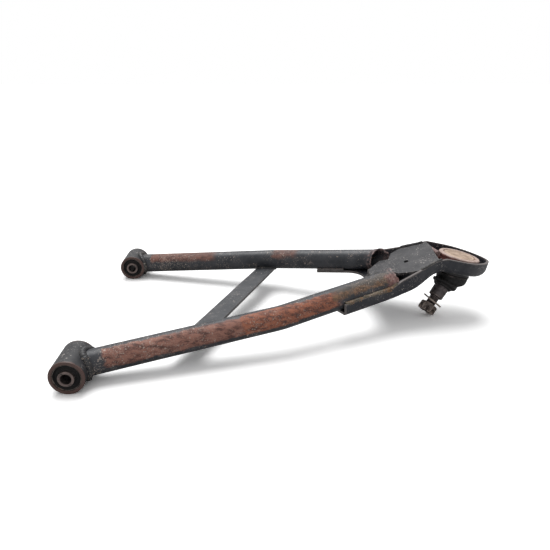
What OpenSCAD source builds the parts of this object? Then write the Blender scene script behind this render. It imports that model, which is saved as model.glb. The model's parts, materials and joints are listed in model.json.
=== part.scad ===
// Tubular lower control arm: two bent tubes meet in a pressed pan that holds
// a ball joint, and end in two rubber-bushed pivot barrels on one axis.
// The arm lies on its barrels and on the ball stud's nut, floor at Z = 0.
// Frame: +X from the pivot axis to the ball joint, +Y from front to rear pivot.

/* [Pivots] */
// Distance between the two barrel centres
pivot_spacing = 300; // [260:1:340]
// Outside diameter of a pivot barrel
barrel_d = 33; // [32:0.5:38]
// Length of a pivot barrel
barrel_len = 43; // [38:0.5:50]
// Wall of a pivot barrel
barrel_wall = 3; // [2.5:0.1:3.5]
// Length of the inner sleeve, which stands proud at both ends
sleeve_len = 47; // [45:0.5:54]
// Outside diameter of the inner sleeve
sleeve_d = 15; // [14:0.1:16]
// Bolt hole through the inner sleeve
bolt_hole_d = 10.3; // [8.2:0.1:11]

/* [Tubes] */
// Outside diameter of the arm tubes
tube_d = 25.4; // [22:0.1:27]
// Wall of the arm tubes
tube_wall = 2; // [1.5:0.1:3]
// Distance from the pivot axis to the bend, along X
bend_x = 198; // [190:1:206]
// Angle of the inner run to the X axis, seen from above
inner_angle = 15.2; // [14:0.1:17]
// Rise of the inner run
inner_rise = 5.75; // [5:0.05:6.5]
// Angle of the outer run to the X axis, seen from above
outer_angle = 24.2; // [23:0.1:25]
// Rise of the outer run
outer_rise = 6.76; // [6:0.02:7.5]
// Radius of the bend, at the tube's centre line
bend_r = 90; // [60:1:120]
// Length of the front tube's outer run, from the corner of the bend to its end
front_outer_run = 143; // [140:1:150]
// Length of the rear tube's outer run, from the corner of the bend to its end
rear_outer_run = 148; // [130:1:150]
// Slant of the rear tube's cut outer end
rear_end_slant = 38; // [0:1:45]

/* [Brace] */
// Width of the flat brace between the tubes
brace_w = 25; // [20:0.5:30]
// Thickness of the brace
brace_t = 3; // [2:0.1:5]
// Where the brace meets the front tube, along X
brace_front_x = 95; // [85:1:110]
// Where the brace meets the rear tube, along X
brace_rear_x = 193; // [180:1:195]
// Height of the brace against the tubes' centre lines
brace_z = -10; // [-11:0.5:0]

/* [Pan] */
// Sheet thickness of the pan
pan_t = 3; // [2.5:0.1:3.5]
// Half width of the pan beside the ball joint
pan_half_w = 37.8; // [36:0.1:39]
// Downward fold of the ball joint platform
platform_fold = 19.5; // [18:0.1:21]
// Depth of the pan's wall round the ball joint, outside
platform_depth = 17.2; // [16:0.1:19]
// Thickness of the gusset plate
gusset_t = 3; // [2:0.1:4]

/* [Ball joint] */
// Diameter of the closing cap
cap_d = 48.6; // [47:0.1:50]
// Diameter of the ball
ball_d = 22; // [21:0.1:22.4]
// Lean of the stud from the housing's axis
stud_lean = 30.5; // [20:0.1:32]
// Direction of that lean, round the housing's axis
stud_turn = 213.6; // [180:0.1:240]
// Large diameter of the stud's taper
taper_large_d = 18.4; // [18:0.1:18.6]
// Small diameter of the stud's taper
taper_small_d = 17.2; // [16:0.1:17.8]
// Nominal diameter of the stud's thread
thread_d = 12; // [10:0.5:14]
// Distance from the ball centre to the end of the nut
stud_reach = 63.7; // [60:0.1:66]
// Width of the castle nut across its flats
nut_af = 18; // [17:0.5:19]
// Height of the castle nut
nut_h = 10; // [9:0.1:11]
// Tilt of the loose washer on the thread
washer_tilt = 11.7; // [0:0.1:12]

/* [Hidden] */
$fn = 96;
big = 400;
paint = [0.20, 0.21, 0.24];
rust = [0.45, 0.27, 0.21];

// --- pivots and tubes
pivot_z = barrel_d / 2;
tube_r = tube_d / 2;
front_side = -1;
rear_side = 1;
sleeve_gap = 0.05;
bush_shell_t = 1;
bush_len = barrel_len - 1.6;
bush_r = barrel_d / 2 - barrel_wall;
run_gap = 0.15;
spare_run = 12.5;

// unit vector at a plan angle and a rise
function heading(plan, rise) = [cos(rise) * cos(plan), cos(rise) * sin(plan), sin(rise)];
inner_dir = heading(inner_angle, inner_rise);
outer_dir = heading(outer_angle, outer_rise);
bend_angle = acos(inner_dir * outer_dir);
// the outer run's sideways and upward parts, seen along the inner run
side_part = outer_dir * [-sin(inner_angle), cos(inner_angle), 0];
up_part = outer_dir * [-sin(inner_rise) * cos(inner_angle), -sin(inner_rise) * sin(inner_angle),
                       cos(inner_rise)];
bend_roll = atan2(up_part, side_part);
bend_tangent = bend_r * tan(bend_angle / 2);
inner_run = bend_x / (cos(inner_rise) * cos(inner_angle));

// --- brace, in the plane of the tubes' inner runs
brace_front = [brace_front_x, brace_front_x * tan(inner_angle) - pivot_spacing / 2];
brace_rear = [brace_rear_x, pivot_spacing / 2 - brace_rear_x * tan(inner_angle)];
brace_run = brace_rear - brace_front;

// --- the outer plane, in which the pan lies; its X starts at the tubes' bends
bend_y = pivot_spacing / 2 - bend_x * tan(inner_angle);
bend_z = pivot_z + inner_run * sin(inner_rise);
inner_slope = atan(tan(inner_rise) / cos(inner_angle));
outer_slope = atan(tan(outer_rise) / cos(outer_angle));
leg_angle = atan(tan(outer_angle) * cos(outer_slope));

// --- pan, all in the outer plane's own X, Y and Z
front_leg_start = 69;
rear_leg_start = 65;
leg_end = 147;
leg_turn = 108;
wall_out = tube_r + run_gap + pan_t;
floor_z = -tube_r - run_gap;
lip_in = 8;
lip_z = -2.6;
crotch_x = 110.5;
crest = [196, 15.4];
neck_x = 186;
tip_len = 65.4;
tip_straight = 23.5;
tip_power = 1.7;
joint_x = 29.4;
cap_z = -0.7;
// the rear wall's higher rim beside the tube's end: [X, Z], with its foot inside the wall
rear_rim = [[112, -8], [128, 7.6], [150, 8.2], [164, 9.9], [175, 13], [185, 14.9], [185, 0], [150, -8]];
crest_low = [crest[0] - platform_depth * sin(platform_fold), crest[1] - platform_depth * cos(platform_fold)];
// a point beside a leg: distance along its tube, offset outwards from the tube's axis
function leg_point(along, out) = [along * cos(leg_angle) + out * sin(leg_angle),
                                  bend_y - along * sin(leg_angle) + out * cos(leg_angle)];
function curve(a, b, c, d, steps) = [for (i = [0 : steps]) let (t = i / steps, u = 1 - t)
    a * pow(u, 3) + 3 * b * t * pow(u, 2) + 3 * c * pow(t, 2) * u + d * pow(t, 3)];
function flipped(points) = [for (i = [len(points) - 1 : -1 : 0]) [points[i][0], -points[i][1]]];
// rear half of the legs' outer edge, moved inwards by the amount given
function leg_edge(start, inset) = concat(
    [leg_point(start, wall_out - inset)],
    curve(leg_point(leg_end, wall_out - inset), [160, 49.5 - inset], [174, pan_half_w + 3 - inset],
          [neck_x, pan_half_w - inset], 12),
    [[crest[0] + 1, pan_half_w - inset]]);
// rear half of the legs' free inner edge and of the crotch between them
function crotch_edge(start) = concat(
    curve([crotch_x, 12], [crotch_x, 29], [crotch_x - 3.5, 37], leg_point(leg_turn, -lip_in), 10),
    [leg_point(start, -lip_in), leg_point(start, -60)]);
// rear half of the rounded end round the ball joint
function tip_edge(inset) = [for (i = [0 : 24]) let (t = i * 3.75)
    [tip_straight + (tip_len - tip_straight - inset) * pow(cos(t), 2 / tip_power),
     (pan_half_w - inset) * pow(sin(t), 2 / tip_power)]];

// --- gusset plate, in the outer plane: it rises from the crotch to the crest
gusset_at = [162, 8.8];
gusset_rise = 12;
gusset_end_x = 194;
gusset_slot = [4.6, 6];
slot_at = [157.3, -4.7];
tip_x = 113.1;
tip_half_w = 9;
gusset_edge = [[tip_x - 4, tip_half_w], [tip_x, tip_half_w], [118, 12.5], [126.8, 20.5], [140.5, 30.5],
               [154.2, 38.5], [164, 42.3], [169.8, 40.1], [178.6, 36.7], [186.5, 34.4], [gusset_end_x, 34.2]];
// the plate's outboard end, cut back towards the front wall
gusset_end_cut = [[gusset_end_x + 1, 12], [gusset_end_x, 12], [191.3, -4], [189.6, -18], [187.3, -40],
                  [gusset_end_x + 1, -40]];
function gusset_top(x) = gusset_at[1] + (x - gusset_at[0]) * tan(gusset_rise);

// --- ball joint, on the housing's own axis, Z = 0 at the top of its rolled lip
lip_r = cap_d / 2;
lip_t = 1.4;
lip_hole_r = 19.2;
cap_r = 21.2;
cap_low_z = -4.6;
housing_r = 23.4;
platform_z = -platform_depth + pan_t - cap_z;
neck_out_r = 18.4;
groove_r = 16.8;
groove_z = -22.4;
housing_low_z = -26.4;
housing_bore_r = 14.9;
ledge_z = -24.6;
mouth_r = 13.4;
press_gap = 0.02;
ball_z = -17;
ball_r = ball_d / 2;
ball_gap = 0.05;
seat_top_z = 4.5;
seat_lip_z = -4;
seat_low_z = -7.4;
seat_flare_r = 13.2;

// --- ball stud, along its own axis from the ball's centre
neck_r = 6;
neck_end = 16;
taper_start = 23;
taper_end = 42.5;
thread_r = thread_d / 2 - 0.05;
thread_gap = 0.05;
nut_top = stud_reach - nut_h;
boot_lip_end = 28.6;
boot_lip_r = 11;
boot_fold_r = 15;
boot_t = 1.4;
washer_at = 48.4;
washer_r = 12.6;
washer_hole_r = 6.7;
washer_t = 2;
washer_turn = -22;
nut_turn = 1;

// --- whole-arm placement: the origin is under the middle of the arm
mid_x = 219.7;

module placed() {
    translate([-mid_x, 0, 0]) children();
}

module along_inner_plane() {
    translate([0, 0, pivot_z]) rotate([0, -inner_slope, 0]) children();
}

module along_outer_plane() {
    translate([bend_x, 0, bend_z]) rotate([0, -outer_slope, 0]) children();
}

module on_platform() {
    along_outer_plane() translate([crest[0], 0, crest[1]]) rotate([0, platform_fold, 0]) children();
}

module at_ball_joint() {
    on_platform() translate([joint_x, 0, cap_z]) children();
}

// Z runs down the stud from the ball's centre
module along_stud() {
    at_ball_joint() translate([0, 0, ball_z])
        rotate([0, 0, stud_turn]) rotate([0, -stud_lean, 0]) mirror([0, 0, 1]) children();
}

module on_pivot(side) {
    translate([0, side * pivot_spacing / 2, pivot_z]) rotate([90, 0, 0]) children();
}

// a round bar that follows one tube's centre line and runs on past its cut end
module tube_path(side, r) {
    outer_run = side > 0 ? rear_outer_run : front_outer_run;
    straight = inner_run - bend_tangent;
    mirror([0, side > 0 ? 1 : 0, 0]) translate([0, -pivot_spacing / 2, pivot_z])
        rotate([0, -inner_rise, inner_angle]) rotate([bend_roll, 0, 0]) {
            rotate([0, 90, 0]) cylinder(h = straight, r = r);
            translate([straight, bend_r, 0]) rotate([0, 0, -90])
                rotate_extrude(angle = bend_angle) translate([bend_r, 0]) circle(r = r);
            translate([straight, bend_r, 0]) rotate([0, 0, bend_angle]) translate([0, -bend_r, 0])
                rotate([0, 90, 0]) cylinder(h = outer_run - bend_tangent + spare_run, r = r);
        }
}

// the end of one tube: X runs outwards along it, Y towards the other tube
module at_tube_end(side) {
    outer_run = side > 0 ? rear_outer_run : front_outer_run;
    mirror([0, side > 0 ? 1 : 0, 0]) translate([0, -pivot_spacing / 2, pivot_z])
        rotate([0, -inner_rise, inner_angle]) rotate([bend_roll, 0, 0])
            translate([inner_run - bend_tangent, bend_r, 0]) rotate([0, 0, bend_angle])
                translate([outer_run - bend_tangent, -bend_r, 0]) children();
}

// Arm tubes: round steel tube, notched over the barrel, bent once
module arm_tube(side) {
    color(rust) difference() {
        tube_path(side, tube_r);
        tube_path(side, tube_r - tube_wall);
        on_pivot(side) cylinder(h = barrel_len + 20, r = barrel_d / 2, center = true);
        at_tube_end(side) rotate([0, 0, side > 0 ? rear_end_slant : 0])
            translate([0, -tube_d, -tube_d]) cube([2 * tube_d, 2 * tube_d, 2 * tube_d]);
    }
}

module front_tube() {
    placed() arm_tube(front_side);
}

module rear_tube() {
    placed() arm_tube(rear_side);
}

// Pivot barrels: short lengths of pipe across the tube ends
module pivot_barrel(side) {
    color(paint) on_pivot(side) difference() {
        cylinder(h = barrel_len, r = barrel_d / 2, center = true);
        cylinder(h = barrel_len + 2, r = bush_r, center = true);
    }
}

module front_pivot_barrel() {
    placed() pivot_barrel(front_side);
}

module rear_pivot_barrel() {
    placed() pivot_barrel(rear_side);
}

// Bushes: pressed-in outer shell, rubber ring and turning inner sleeve
module bush_shell(side) {
    color("dimgray") on_pivot(side) difference() {
        cylinder(h = bush_len, r = bush_r, center = true);
        cylinder(h = bush_len + 2, r = bush_r - bush_shell_t, center = true);
    }
}

module bush_rubber(side) {
    dish = 2.5;
    outer = bush_r - bush_shell_t;
    inner = sleeve_d / 2 + sleeve_gap;
    half = bush_len / 2;
    color([0.06, 0.06, 0.06]) on_pivot(side) rotate_extrude()
        polygon([[inner, -half], [inner + 1.5, -half + dish], [outer - 1.5, -half + dish], [outer, -half],
                 [outer, half], [outer - 1.5, half - dish], [inner + 1.5, half - dish], [inner, half]]);
}

module bush_sleeve(side) {
    color([0.42, 0.38, 0.36]) on_pivot(side) difference() {
        cylinder(h = sleeve_len, r = sleeve_d / 2, center = true);
        cylinder(h = sleeve_len + 2, r = bolt_hole_d / 2, center = true);
    }
}

module front_bush_shell() {
    placed() bush_shell(front_side);
}

module rear_bush_shell() {
    placed() bush_shell(rear_side);
}

module front_bush_rubber() {
    placed() bush_rubber(front_side);
}

module rear_bush_rubber() {
    placed() bush_rubber(rear_side);
}

module front_sleeve() {
    placed() bush_sleeve(front_side);
}

module rear_sleeve() {
    placed() bush_sleeve(rear_side);
}

// Cross brace: flat bar set slantwise between the tubes, its ends notched over them
module brace_bar(width, thick, extra) {
    length = norm(brace_run) + extra;
    along_inner_plane() translate([brace_front[0], brace_front[1], brace_z])
        rotate([0, 0, atan2(brace_run[1], brace_run[0])])
            translate([-extra / 2, -width / 2, -thick / 2]) cube([length, width, thick]);
}

// the space between the two tubes' centre lines, seen from above
module between_tubes() {
    half = [[0, pivot_spacing / 2], [bend_x, bend_y], [bend_x + 40, bend_y - 40 * tan(outer_angle)]];
    along_inner_plane() linear_extrude(60, center = true) polygon(concat(flipped(half), half));
}

module cross_brace() {
    color(paint) placed() difference() {
        intersection() {
            brace_bar(brace_w, brace_t, 0);
            between_tubes();
        }
        tube_path(front_side, tube_r);
        tube_path(rear_side, tube_r);
    }
}

// Pan: Y-shaped pressing with a wall round its outside, folded down at the ball joint
module leg_slab(inset, low, high) {
    translate([0, 0, low]) linear_extrude(high - low)
        polygon(concat(flipped(leg_edge(front_leg_start - inset, inset)),
                       leg_edge(rear_leg_start - inset, inset)));
}

// the space between the legs' inner edges, out past their free ends
module crotch_cut() {
    translate([0, 0, -big / 2]) linear_extrude(big)
        polygon(concat(flipped(crotch_edge(front_leg_start - 20)), crotch_edge(rear_leg_start - 20)));
}

// cuts each leg square across its tube at its free end
module leg_end_cut(side, start) {
    mirror([0, side > 0 ? 0 : 1, 0]) translate([0, bend_y, 0]) rotate([0, 0, -leg_angle])
        translate([start - 60, -60, -big / 2]) cube([60, 120, big]);
}

// side view of the legs: flat, then a rise to the crest
module leg_side(lift, top) {
    rotate([90, 0, 0]) linear_extrude(big, center = true)
        polygon([[0, floor_z - pan_t + lift], [leg_point(leg_end, 0)[0] + 6, floor_z - pan_t + lift],
                 [157, -12.2 + lift], [174, -5 + lift], [crest_low[0] - 4, crest_low[1] + lift - 0.4],
                 [crest_low[0] + lift * sin(platform_fold), crest_low[1] + lift * cos(platform_fold)],
                 [crest[0] + top * sin(platform_fold), crest[1] + top], [neck_x, 14.6 + top],
                 [154, 7.3 + top], [140, 3 + top], [127, lip_z + top], [0, lip_z + top]]);
}

// the rear wall stands higher than the front wall beside the tube's end
module rear_wall_rise() {
    along_outer_plane() intersection() {
        difference() {
            leg_slab(0, -10, 30);
            leg_slab(pan_t, -20, 40);
        }
        rotate([90, 0, 0]) translate([0, 0, -big]) linear_extrude(big) polygon(rear_rim);
    }
}

module platform_slab(inset, low, high) {
    half = tip_edge(inset);
    translate([0, 0, low]) linear_extrude(high - low)
        polygon(concat([[0, -pan_half_w + inset]], flipped(half), half, [[0, pan_half_w - inset]]));
}

module pan_shape() {
    difference() {
        union() {
            along_outer_plane() intersection() {
                leg_slab(0, -40, 40);
                leg_side(0, 0);
            }
            on_platform() platform_slab(0, -platform_depth, 0);
        }
        along_outer_plane() {
            crotch_cut();
            leg_end_cut(front_side, front_leg_start);
            leg_end_cut(rear_side, rear_leg_start);
            intersection() {
                leg_slab(pan_t, -40, 60);
                leg_side(pan_t, 30);
            }
        }
        on_platform() translate([-1, 0, 0]) platform_slab(pan_t, pan_t - platform_depth, 30);
        at_ball_joint() cylinder(h = 80, r = neck_out_r + press_gap, center = true);
    }
    rear_wall_rise();
}

module ball_joint_pan() {
    color(paint) placed() pan_shape();
}

// Gusset: kite-shaped plate between the tubes and the pan's walls, its inboard tip bent down
// to the pan's floor, with one small slot
module gusset_blank() {
    drop = gusset_t / cos(gusset_rise);
    foot_z = floor_z + 0.1;
    along_outer_plane() difference() {
        intersection() {
            translate([0, 0, -20]) linear_extrude(50) polygon(concat(flipped(gusset_edge), gusset_edge));
            rotate([90, 0, 0]) linear_extrude(100, center = true)
                polygon([[tip_x, gusset_top(tip_x)], [tip_x - 2.6, foot_z], [tip_x + 0.5, foot_z],
                         [tip_x + 2.7, gusset_top(tip_x + 2.7) - drop],
                         [gusset_end_x, gusset_top(gusset_end_x) - drop],
                         [gusset_end_x, gusset_top(gusset_end_x)]]);
        }
        linear_extrude(30) polygon(gusset_end_cut);
    }
}

module gusset_plate() {
    color(paint) placed() difference() {
        gusset_blank();
        tube_path(front_side, tube_r + run_gap);
        tube_path(rear_side, tube_r + run_gap);
        along_outer_plane() translate([slot_at[0], slot_at[1], gusset_at[1]])
            cube([gusset_slot[0], gusset_slot[1], 20], center = true);
    }
}

// Weld beads
module barrel_welds() {
    color(paint) placed() for (side = [front_side, rear_side]) difference() {
        intersection() {
            tube_path(side, tube_r + 2.4);
            on_pivot(side) cylinder(h = barrel_len - 2, r = barrel_d / 2 + 2.6, center = true);
        }
        tube_path(side, tube_r);
        on_pivot(side) cylinder(h = barrel_len + 20, r = barrel_d / 2, center = true);
    }
}

module brace_welds() {
    color(paint) placed() for (side = [front_side, rear_side]) difference() {
        intersection() {
            tube_path(side, tube_r + 2.2);
            brace_bar(brace_w + 3, brace_t + 4, 0);
            between_tubes();
        }
        tube_path(side, tube_r);
        brace_bar(brace_w, brace_t, 2);
    }
}

// a straight bead from one point to another in the outer plane
module bead(from, to, r) {
    run = to - from;
    along_outer_plane() translate(from)
        rotate([0, acos(run[2] / norm(run)), atan2(run[1], run[0])]) cylinder(h = norm(run), r = r);
}

module leg_bead(side, start) {
    mirror([0, side > 0 ? 0 : 1, 0]) {
        from = leg_point(start + 4, wall_out - 2);
        to = leg_point(leg_end - 12, wall_out - 2);
        bead([from[0], from[1], lip_z], [to[0], to[1], lip_z + 2.6], 2.4);
    }
}

module pan_welds() {
    color(rust) placed() difference() {
        union() {
            leg_bead(front_side, front_leg_start);
            leg_bead(rear_side, rear_leg_start);
        }
        tube_path(front_side, tube_r);
        tube_path(rear_side, tube_r);
        pan_shape();
    }
}

module gusset_welds() {
    color(paint) placed() difference() {
        union() {
            for (side = [front_side, rear_side]) mirror([0, side > 0 ? 0 : 1, 0]) {
                bead([168, 42.6, 10.2], [190, 35.2, 14.6], 1.8);
                bead([129, 24.6, 1.8], [137, 21.4, 3.5], 2);
            }
            bead([195.6, 7, 12.6], [192.4, -28.6, 11.2], 3);
        }
        tube_path(front_side, tube_r);
        tube_path(rear_side, tube_r);
        pan_shape();
        gusset_blank();
    }
}

// Ball joint housing: turned body pressed into the pan, its top lip rolled over the cap
module ball_joint_housing() {
    color([0.50, 0.36, 0.31]) placed() at_ball_joint() rotate_extrude()
        polygon([[lip_hole_r, 0], [lip_r - 0.8, 0], [lip_r, -0.8], [lip_r, -3.4], [housing_r, -4.4],
                 [housing_r, platform_z], [neck_out_r, platform_z], [neck_out_r, groove_z],
                 [groove_r, groove_z], [groove_r, housing_low_z], [mouth_r + 0.8, housing_low_z],
                 [mouth_r, ledge_z], [housing_bore_r, ledge_z], [housing_bore_r, cap_low_z],
                 [cap_r + press_gap, cap_low_z], [cap_r + press_gap, -lip_t], [lip_hole_r, -lip_t]]);
}

module ball_joint_cap() {
    color([0.80, 0.72, 0.64]) placed() at_ball_joint() rotate_extrude()
        polygon([[0, cap_low_z], [cap_r, cap_low_z], [cap_r, -lip_t], [lip_hole_r - 0.2, -lip_t],
                 [lip_hole_r - 0.8, -0.4], [lip_hole_r - 1.6, 0], [0, 0]]);
}

// Preload pad: rubber disc between the cap and the ball
module preload_pad() {
    color([0.1, 0.1, 0.1]) placed() at_ball_joint() difference() {
        translate([0, 0, ball_z + seat_top_z + 0.3])
            cylinder(h = cap_low_z - ball_z - seat_top_z - 0.4, r = housing_bore_r - 0.3);
        translate([0, 0, ball_z]) sphere(r = ball_r + 0.3);
    }
}

module boot_upper_ring() {
    color([0.3, 0.3, 0.3]) placed() at_ball_joint() translate([0, 0, groove_z - 2.6])
        difference() {
            cylinder(h = 1.8, r = neck_out_r + 0.6);
            translate([0, 0, -1]) cylinder(h = 4, r = groove_r + boot_t + 0.1);
        }
}

// Ball seat: plastic liner that turns in the housing and holds the ball
module ball_seat() {
    liner_r = housing_bore_r - 0.05;
    cavity_r = ball_r + ball_gap;
    color([0.9, 0.88, 0.8]) placed() at_ball_joint() translate([0, 0, ball_z]) difference() {
        translate([0, 0, seat_low_z]) cylinder(h = seat_top_z - seat_low_z, r = liner_r);
        sphere(r = cavity_r);
        translate([0, 0, seat_low_z - 0.01])
            cylinder(h = seat_lip_z - seat_low_z + 0.02, r1 = seat_flare_r,
                     r2 = sqrt(cavity_r * cavity_r - seat_lip_z * seat_lip_z));
        cylinder(h = 20, r = sqrt(cavity_r * cavity_r - seat_top_z * seat_top_z));
    }
}

// Dust boot: rubber bellows from the housing's groove to the stud, at its resting lean
module boot_hull(shrink) {
    hull() {
        at_ball_joint() translate([0, 0, -35 + shrink])
            cylinder(h = 35 + housing_low_z - 0.3 - shrink / 2, r = neck_out_r - 0.4 - shrink, $fn = 32);
        along_stud() translate([0, 0, 21]) cylinder(h = 4.4 - shrink, r = boot_fold_r - shrink, $fn = 32);
    }
}

module dust_boot() {
    color([0.07, 0.07, 0.08]) placed() difference() {
        union() {
            boot_hull(0);
            at_ball_joint() translate([0, 0, housing_low_z - 1])
                cylinder(h = groove_z - housing_low_z + 0.8, r = groove_r + boot_t);
            along_stud() translate([0, 0, 23]) cylinder(h = boot_lip_end - 23, r = boot_lip_r);
        }
        boot_hull(boot_t);
        at_ball_joint() translate([0, 0, housing_low_z - 0.2]) cylinder(h = 20, r = groove_r + 0.05);
        at_ball_joint() translate([0, 0, housing_low_z - 3]) cylinder(h = 20, r = groove_r - 0.6);
        along_stud() cylinder(h = 60, r = taper_large_d / 2 + 0.3);
    }
}

module boot_lower_ring() {
    color([0.3, 0.3, 0.3]) placed() along_stud() translate([0, 0, boot_lip_end - 3]) difference() {
        cylinder(h = 1.4, r = boot_lip_r + 0.8);
        translate([0, 0, -1]) cylinder(h = 4, r = boot_lip_r + 0.1);
    }
}

// Ball stud: ball, neck, taper for the knuckle, and thread
module ball_stud() {
    color([0.33, 0.28, 0.26]) placed() along_stud() {
        sphere(r = ball_r);
        cylinder(h = neck_end, r = neck_r);
        translate([0, 0, neck_end])
            cylinder(h = taper_start - neck_end, r1 = neck_r, r2 = taper_large_d / 2);
        translate([0, 0, taper_start])
            cylinder(h = taper_end - taper_start, r1 = taper_large_d / 2, r2 = taper_small_d / 2);
        translate([0, 0, taper_end]) cylinder(h = stud_reach - 0.4 - taper_end, r = thread_r);
    }
}

module stud_washer() {
    color([0.45, 0.38, 0.34]) placed() along_stud() translate([0, 0, washer_at])
        rotate([0, 0, washer_turn]) rotate([washer_tilt, 0, 0]) difference() {
            cylinder(h = washer_t, r = washer_r, center = true);
            cylinder(h = washer_t + 1, r = washer_hole_r, center = true);
        }
}

// Castle nut: hexagon with six slots cut in its free end
module castle_nut() {
    corner_r = nut_af / 2 / cos(30);
    slot_depth = 4.2;
    color([0.35, 0.29, 0.26]) placed() along_stud() translate([0, 0, nut_top]) difference() {
        intersection() {
            rotate([0, 0, nut_turn]) cylinder(h = nut_h, r = corner_r, $fn = 6);
            cylinder(h = nut_h, r1 = corner_r + nut_h - 1, r2 = corner_r - 1);
            cylinder(h = nut_h, r1 = corner_r - 1, r2 = corner_r + nut_h - 1);
        }
        translate([0, 0, -1]) cylinder(h = nut_h + 2, r = thread_r + thread_gap);
        for (i = [0 : 2]) rotate([0, 0, nut_turn + 30 + i * 60])
            translate([-nut_af, -1.5, nut_h - slot_depth]) cube([2 * nut_af, 3, nut_h]);
    }
}

front_tube();
rear_tube();
front_pivot_barrel();
rear_pivot_barrel();
cross_brace();
ball_joint_pan();
gusset_plate();
barrel_welds();
brace_welds();
pan_welds();
gusset_welds();
front_bush_shell();
rear_bush_shell();
front_bush_rubber();
rear_bush_rubber();
front_sleeve();
rear_sleeve();
ball_joint_housing();
ball_joint_cap();
preload_pad();
boot_upper_ring();
ball_seat();
dust_boot();
boot_lower_ring();
ball_stud();
stud_washer();
castle_nut();
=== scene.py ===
import json
import math
from contextlib import contextmanager

import bmesh
import bpy
import numpy as np
from mathutils import Matrix, Vector, noise


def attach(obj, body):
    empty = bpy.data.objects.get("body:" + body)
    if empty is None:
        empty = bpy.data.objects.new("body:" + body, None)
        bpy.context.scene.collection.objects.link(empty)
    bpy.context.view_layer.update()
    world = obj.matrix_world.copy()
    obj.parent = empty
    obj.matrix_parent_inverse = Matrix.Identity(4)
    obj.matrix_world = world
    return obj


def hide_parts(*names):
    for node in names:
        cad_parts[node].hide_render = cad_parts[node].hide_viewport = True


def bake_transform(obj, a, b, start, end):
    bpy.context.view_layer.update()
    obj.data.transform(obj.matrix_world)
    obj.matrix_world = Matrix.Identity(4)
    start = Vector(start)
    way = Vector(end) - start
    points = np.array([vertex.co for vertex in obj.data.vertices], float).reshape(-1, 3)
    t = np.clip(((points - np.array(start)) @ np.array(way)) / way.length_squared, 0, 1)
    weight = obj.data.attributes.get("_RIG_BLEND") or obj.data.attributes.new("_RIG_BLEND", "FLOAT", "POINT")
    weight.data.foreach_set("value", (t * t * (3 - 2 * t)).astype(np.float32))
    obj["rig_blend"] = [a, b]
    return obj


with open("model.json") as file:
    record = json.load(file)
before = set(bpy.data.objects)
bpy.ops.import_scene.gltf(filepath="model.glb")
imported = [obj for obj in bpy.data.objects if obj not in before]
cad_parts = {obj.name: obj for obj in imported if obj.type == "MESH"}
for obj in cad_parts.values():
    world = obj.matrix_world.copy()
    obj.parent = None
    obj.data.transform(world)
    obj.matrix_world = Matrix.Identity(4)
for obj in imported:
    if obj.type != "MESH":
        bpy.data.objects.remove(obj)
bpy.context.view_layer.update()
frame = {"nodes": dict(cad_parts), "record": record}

# ---------------------------------------------------------------------------
# Floor, light and camera. The arm lies on a pale floor that runs out of sight,
# in soft light from every side and one wide light from above and behind.
# ---------------------------------------------------------------------------
mm = 0.001
scene = bpy.context.scene
scene.view_settings.view_transform = "Standard"


def add(tree, kind, options=None, feed=None):
    """adds one node, sets its options, and gives its sockets a value or a link"""
    made = tree.nodes.new(kind)
    for key, value in (options or {}).items():
        setattr(made, key, value)
    for key, value in (feed or {}).items():
        if isinstance(value, bpy.types.NodeSocket):
            tree.links.new(value, made.inputs[key])
        else:
            made.inputs[key].default_value = value
    return made


def new_material(name, **constants):
    """an empty material: its tree and its Principled shader, with fixed values set on the shader"""
    made = bpy.data.materials.new(name)
    made.use_nodes = True
    shader = made.node_tree.nodes["Principled BSDF"]
    for key, value in constants.items():
        shader.inputs[key.replace("_", " ")].default_value = value
    return made, made.node_tree, shader


floor_material, floor_tree, floor_shader = new_material("pale_floor", Roughness=0.9)
floor_tone = add(floor_tree, "ShaderNodeTexNoise", feed={"Scale": 3.0, "Detail": 2.0})
floor_mix = add(floor_tree, "ShaderNodeMapRange",
                feed={0: floor_tone.outputs[0], 3: 1.42, 4: 1.45})
floor_tree.links.new(floor_mix.outputs[0], floor_shader.inputs["Base Color"])
# the floor throws less light back at the arm than it shows
dull = add(floor_tree, "ShaderNodeBsdfDiffuse", feed={"Color": (0.42, 0.42, 0.42, 1)})
seen = add(floor_tree, "ShaderNodeLightPath").outputs["Is Camera Ray"]
floor_blend = add(floor_tree, "ShaderNodeMixShader",
                  feed={0: seen, 1: dull.outputs[0], 2: floor_shader.outputs[0]})
floor_tree.links.new(floor_blend.outputs[0], floor_tree.nodes["Material Output"].inputs[0])
floor_mesh = bpy.data.meshes.new("floor")
floor_half = 40.0
floor_mesh.from_pydata([(-floor_half, -floor_half, 0), (floor_half, -floor_half, 0),
                        (floor_half, floor_half, 0), (-floor_half, floor_half, 0)], [], [(0, 1, 2, 3)])
floor_mesh.materials.append(floor_material)
floor = bpy.data.objects.new("floor", floor_mesh)
scene.collection.objects.link(floor)

world = bpy.data.worlds.new("studio")
world.use_nodes = True
sky = world.node_tree.nodes["Background"]
sky_seen = add(world.node_tree, "ShaderNodeLightPath").outputs["Is Camera Ray"]
sky_level = add(world.node_tree, "ShaderNodeMapRange", feed={0: sky_seen, 3: 0.55, 4: 1.0})
world.node_tree.links.new(sky_level.outputs[0], sky.inputs["Strength"])
sky.inputs["Color"].default_value = (1.0, 1.0, 1.0, 1)
scene.world = world

lamp = bpy.data.lights.new("soft_light", "SUN")
lamp.angle = math.radians(46)
lamp.energy = 2.1
lamp_object = bpy.data.objects.new("soft_light", lamp)
lamp_object.rotation_euler = Vector((0.12, -0.45, -1.0)).to_track_quat("-Z", "Y").to_euler()
scene.collection.objects.link(lamp_object)

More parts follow.
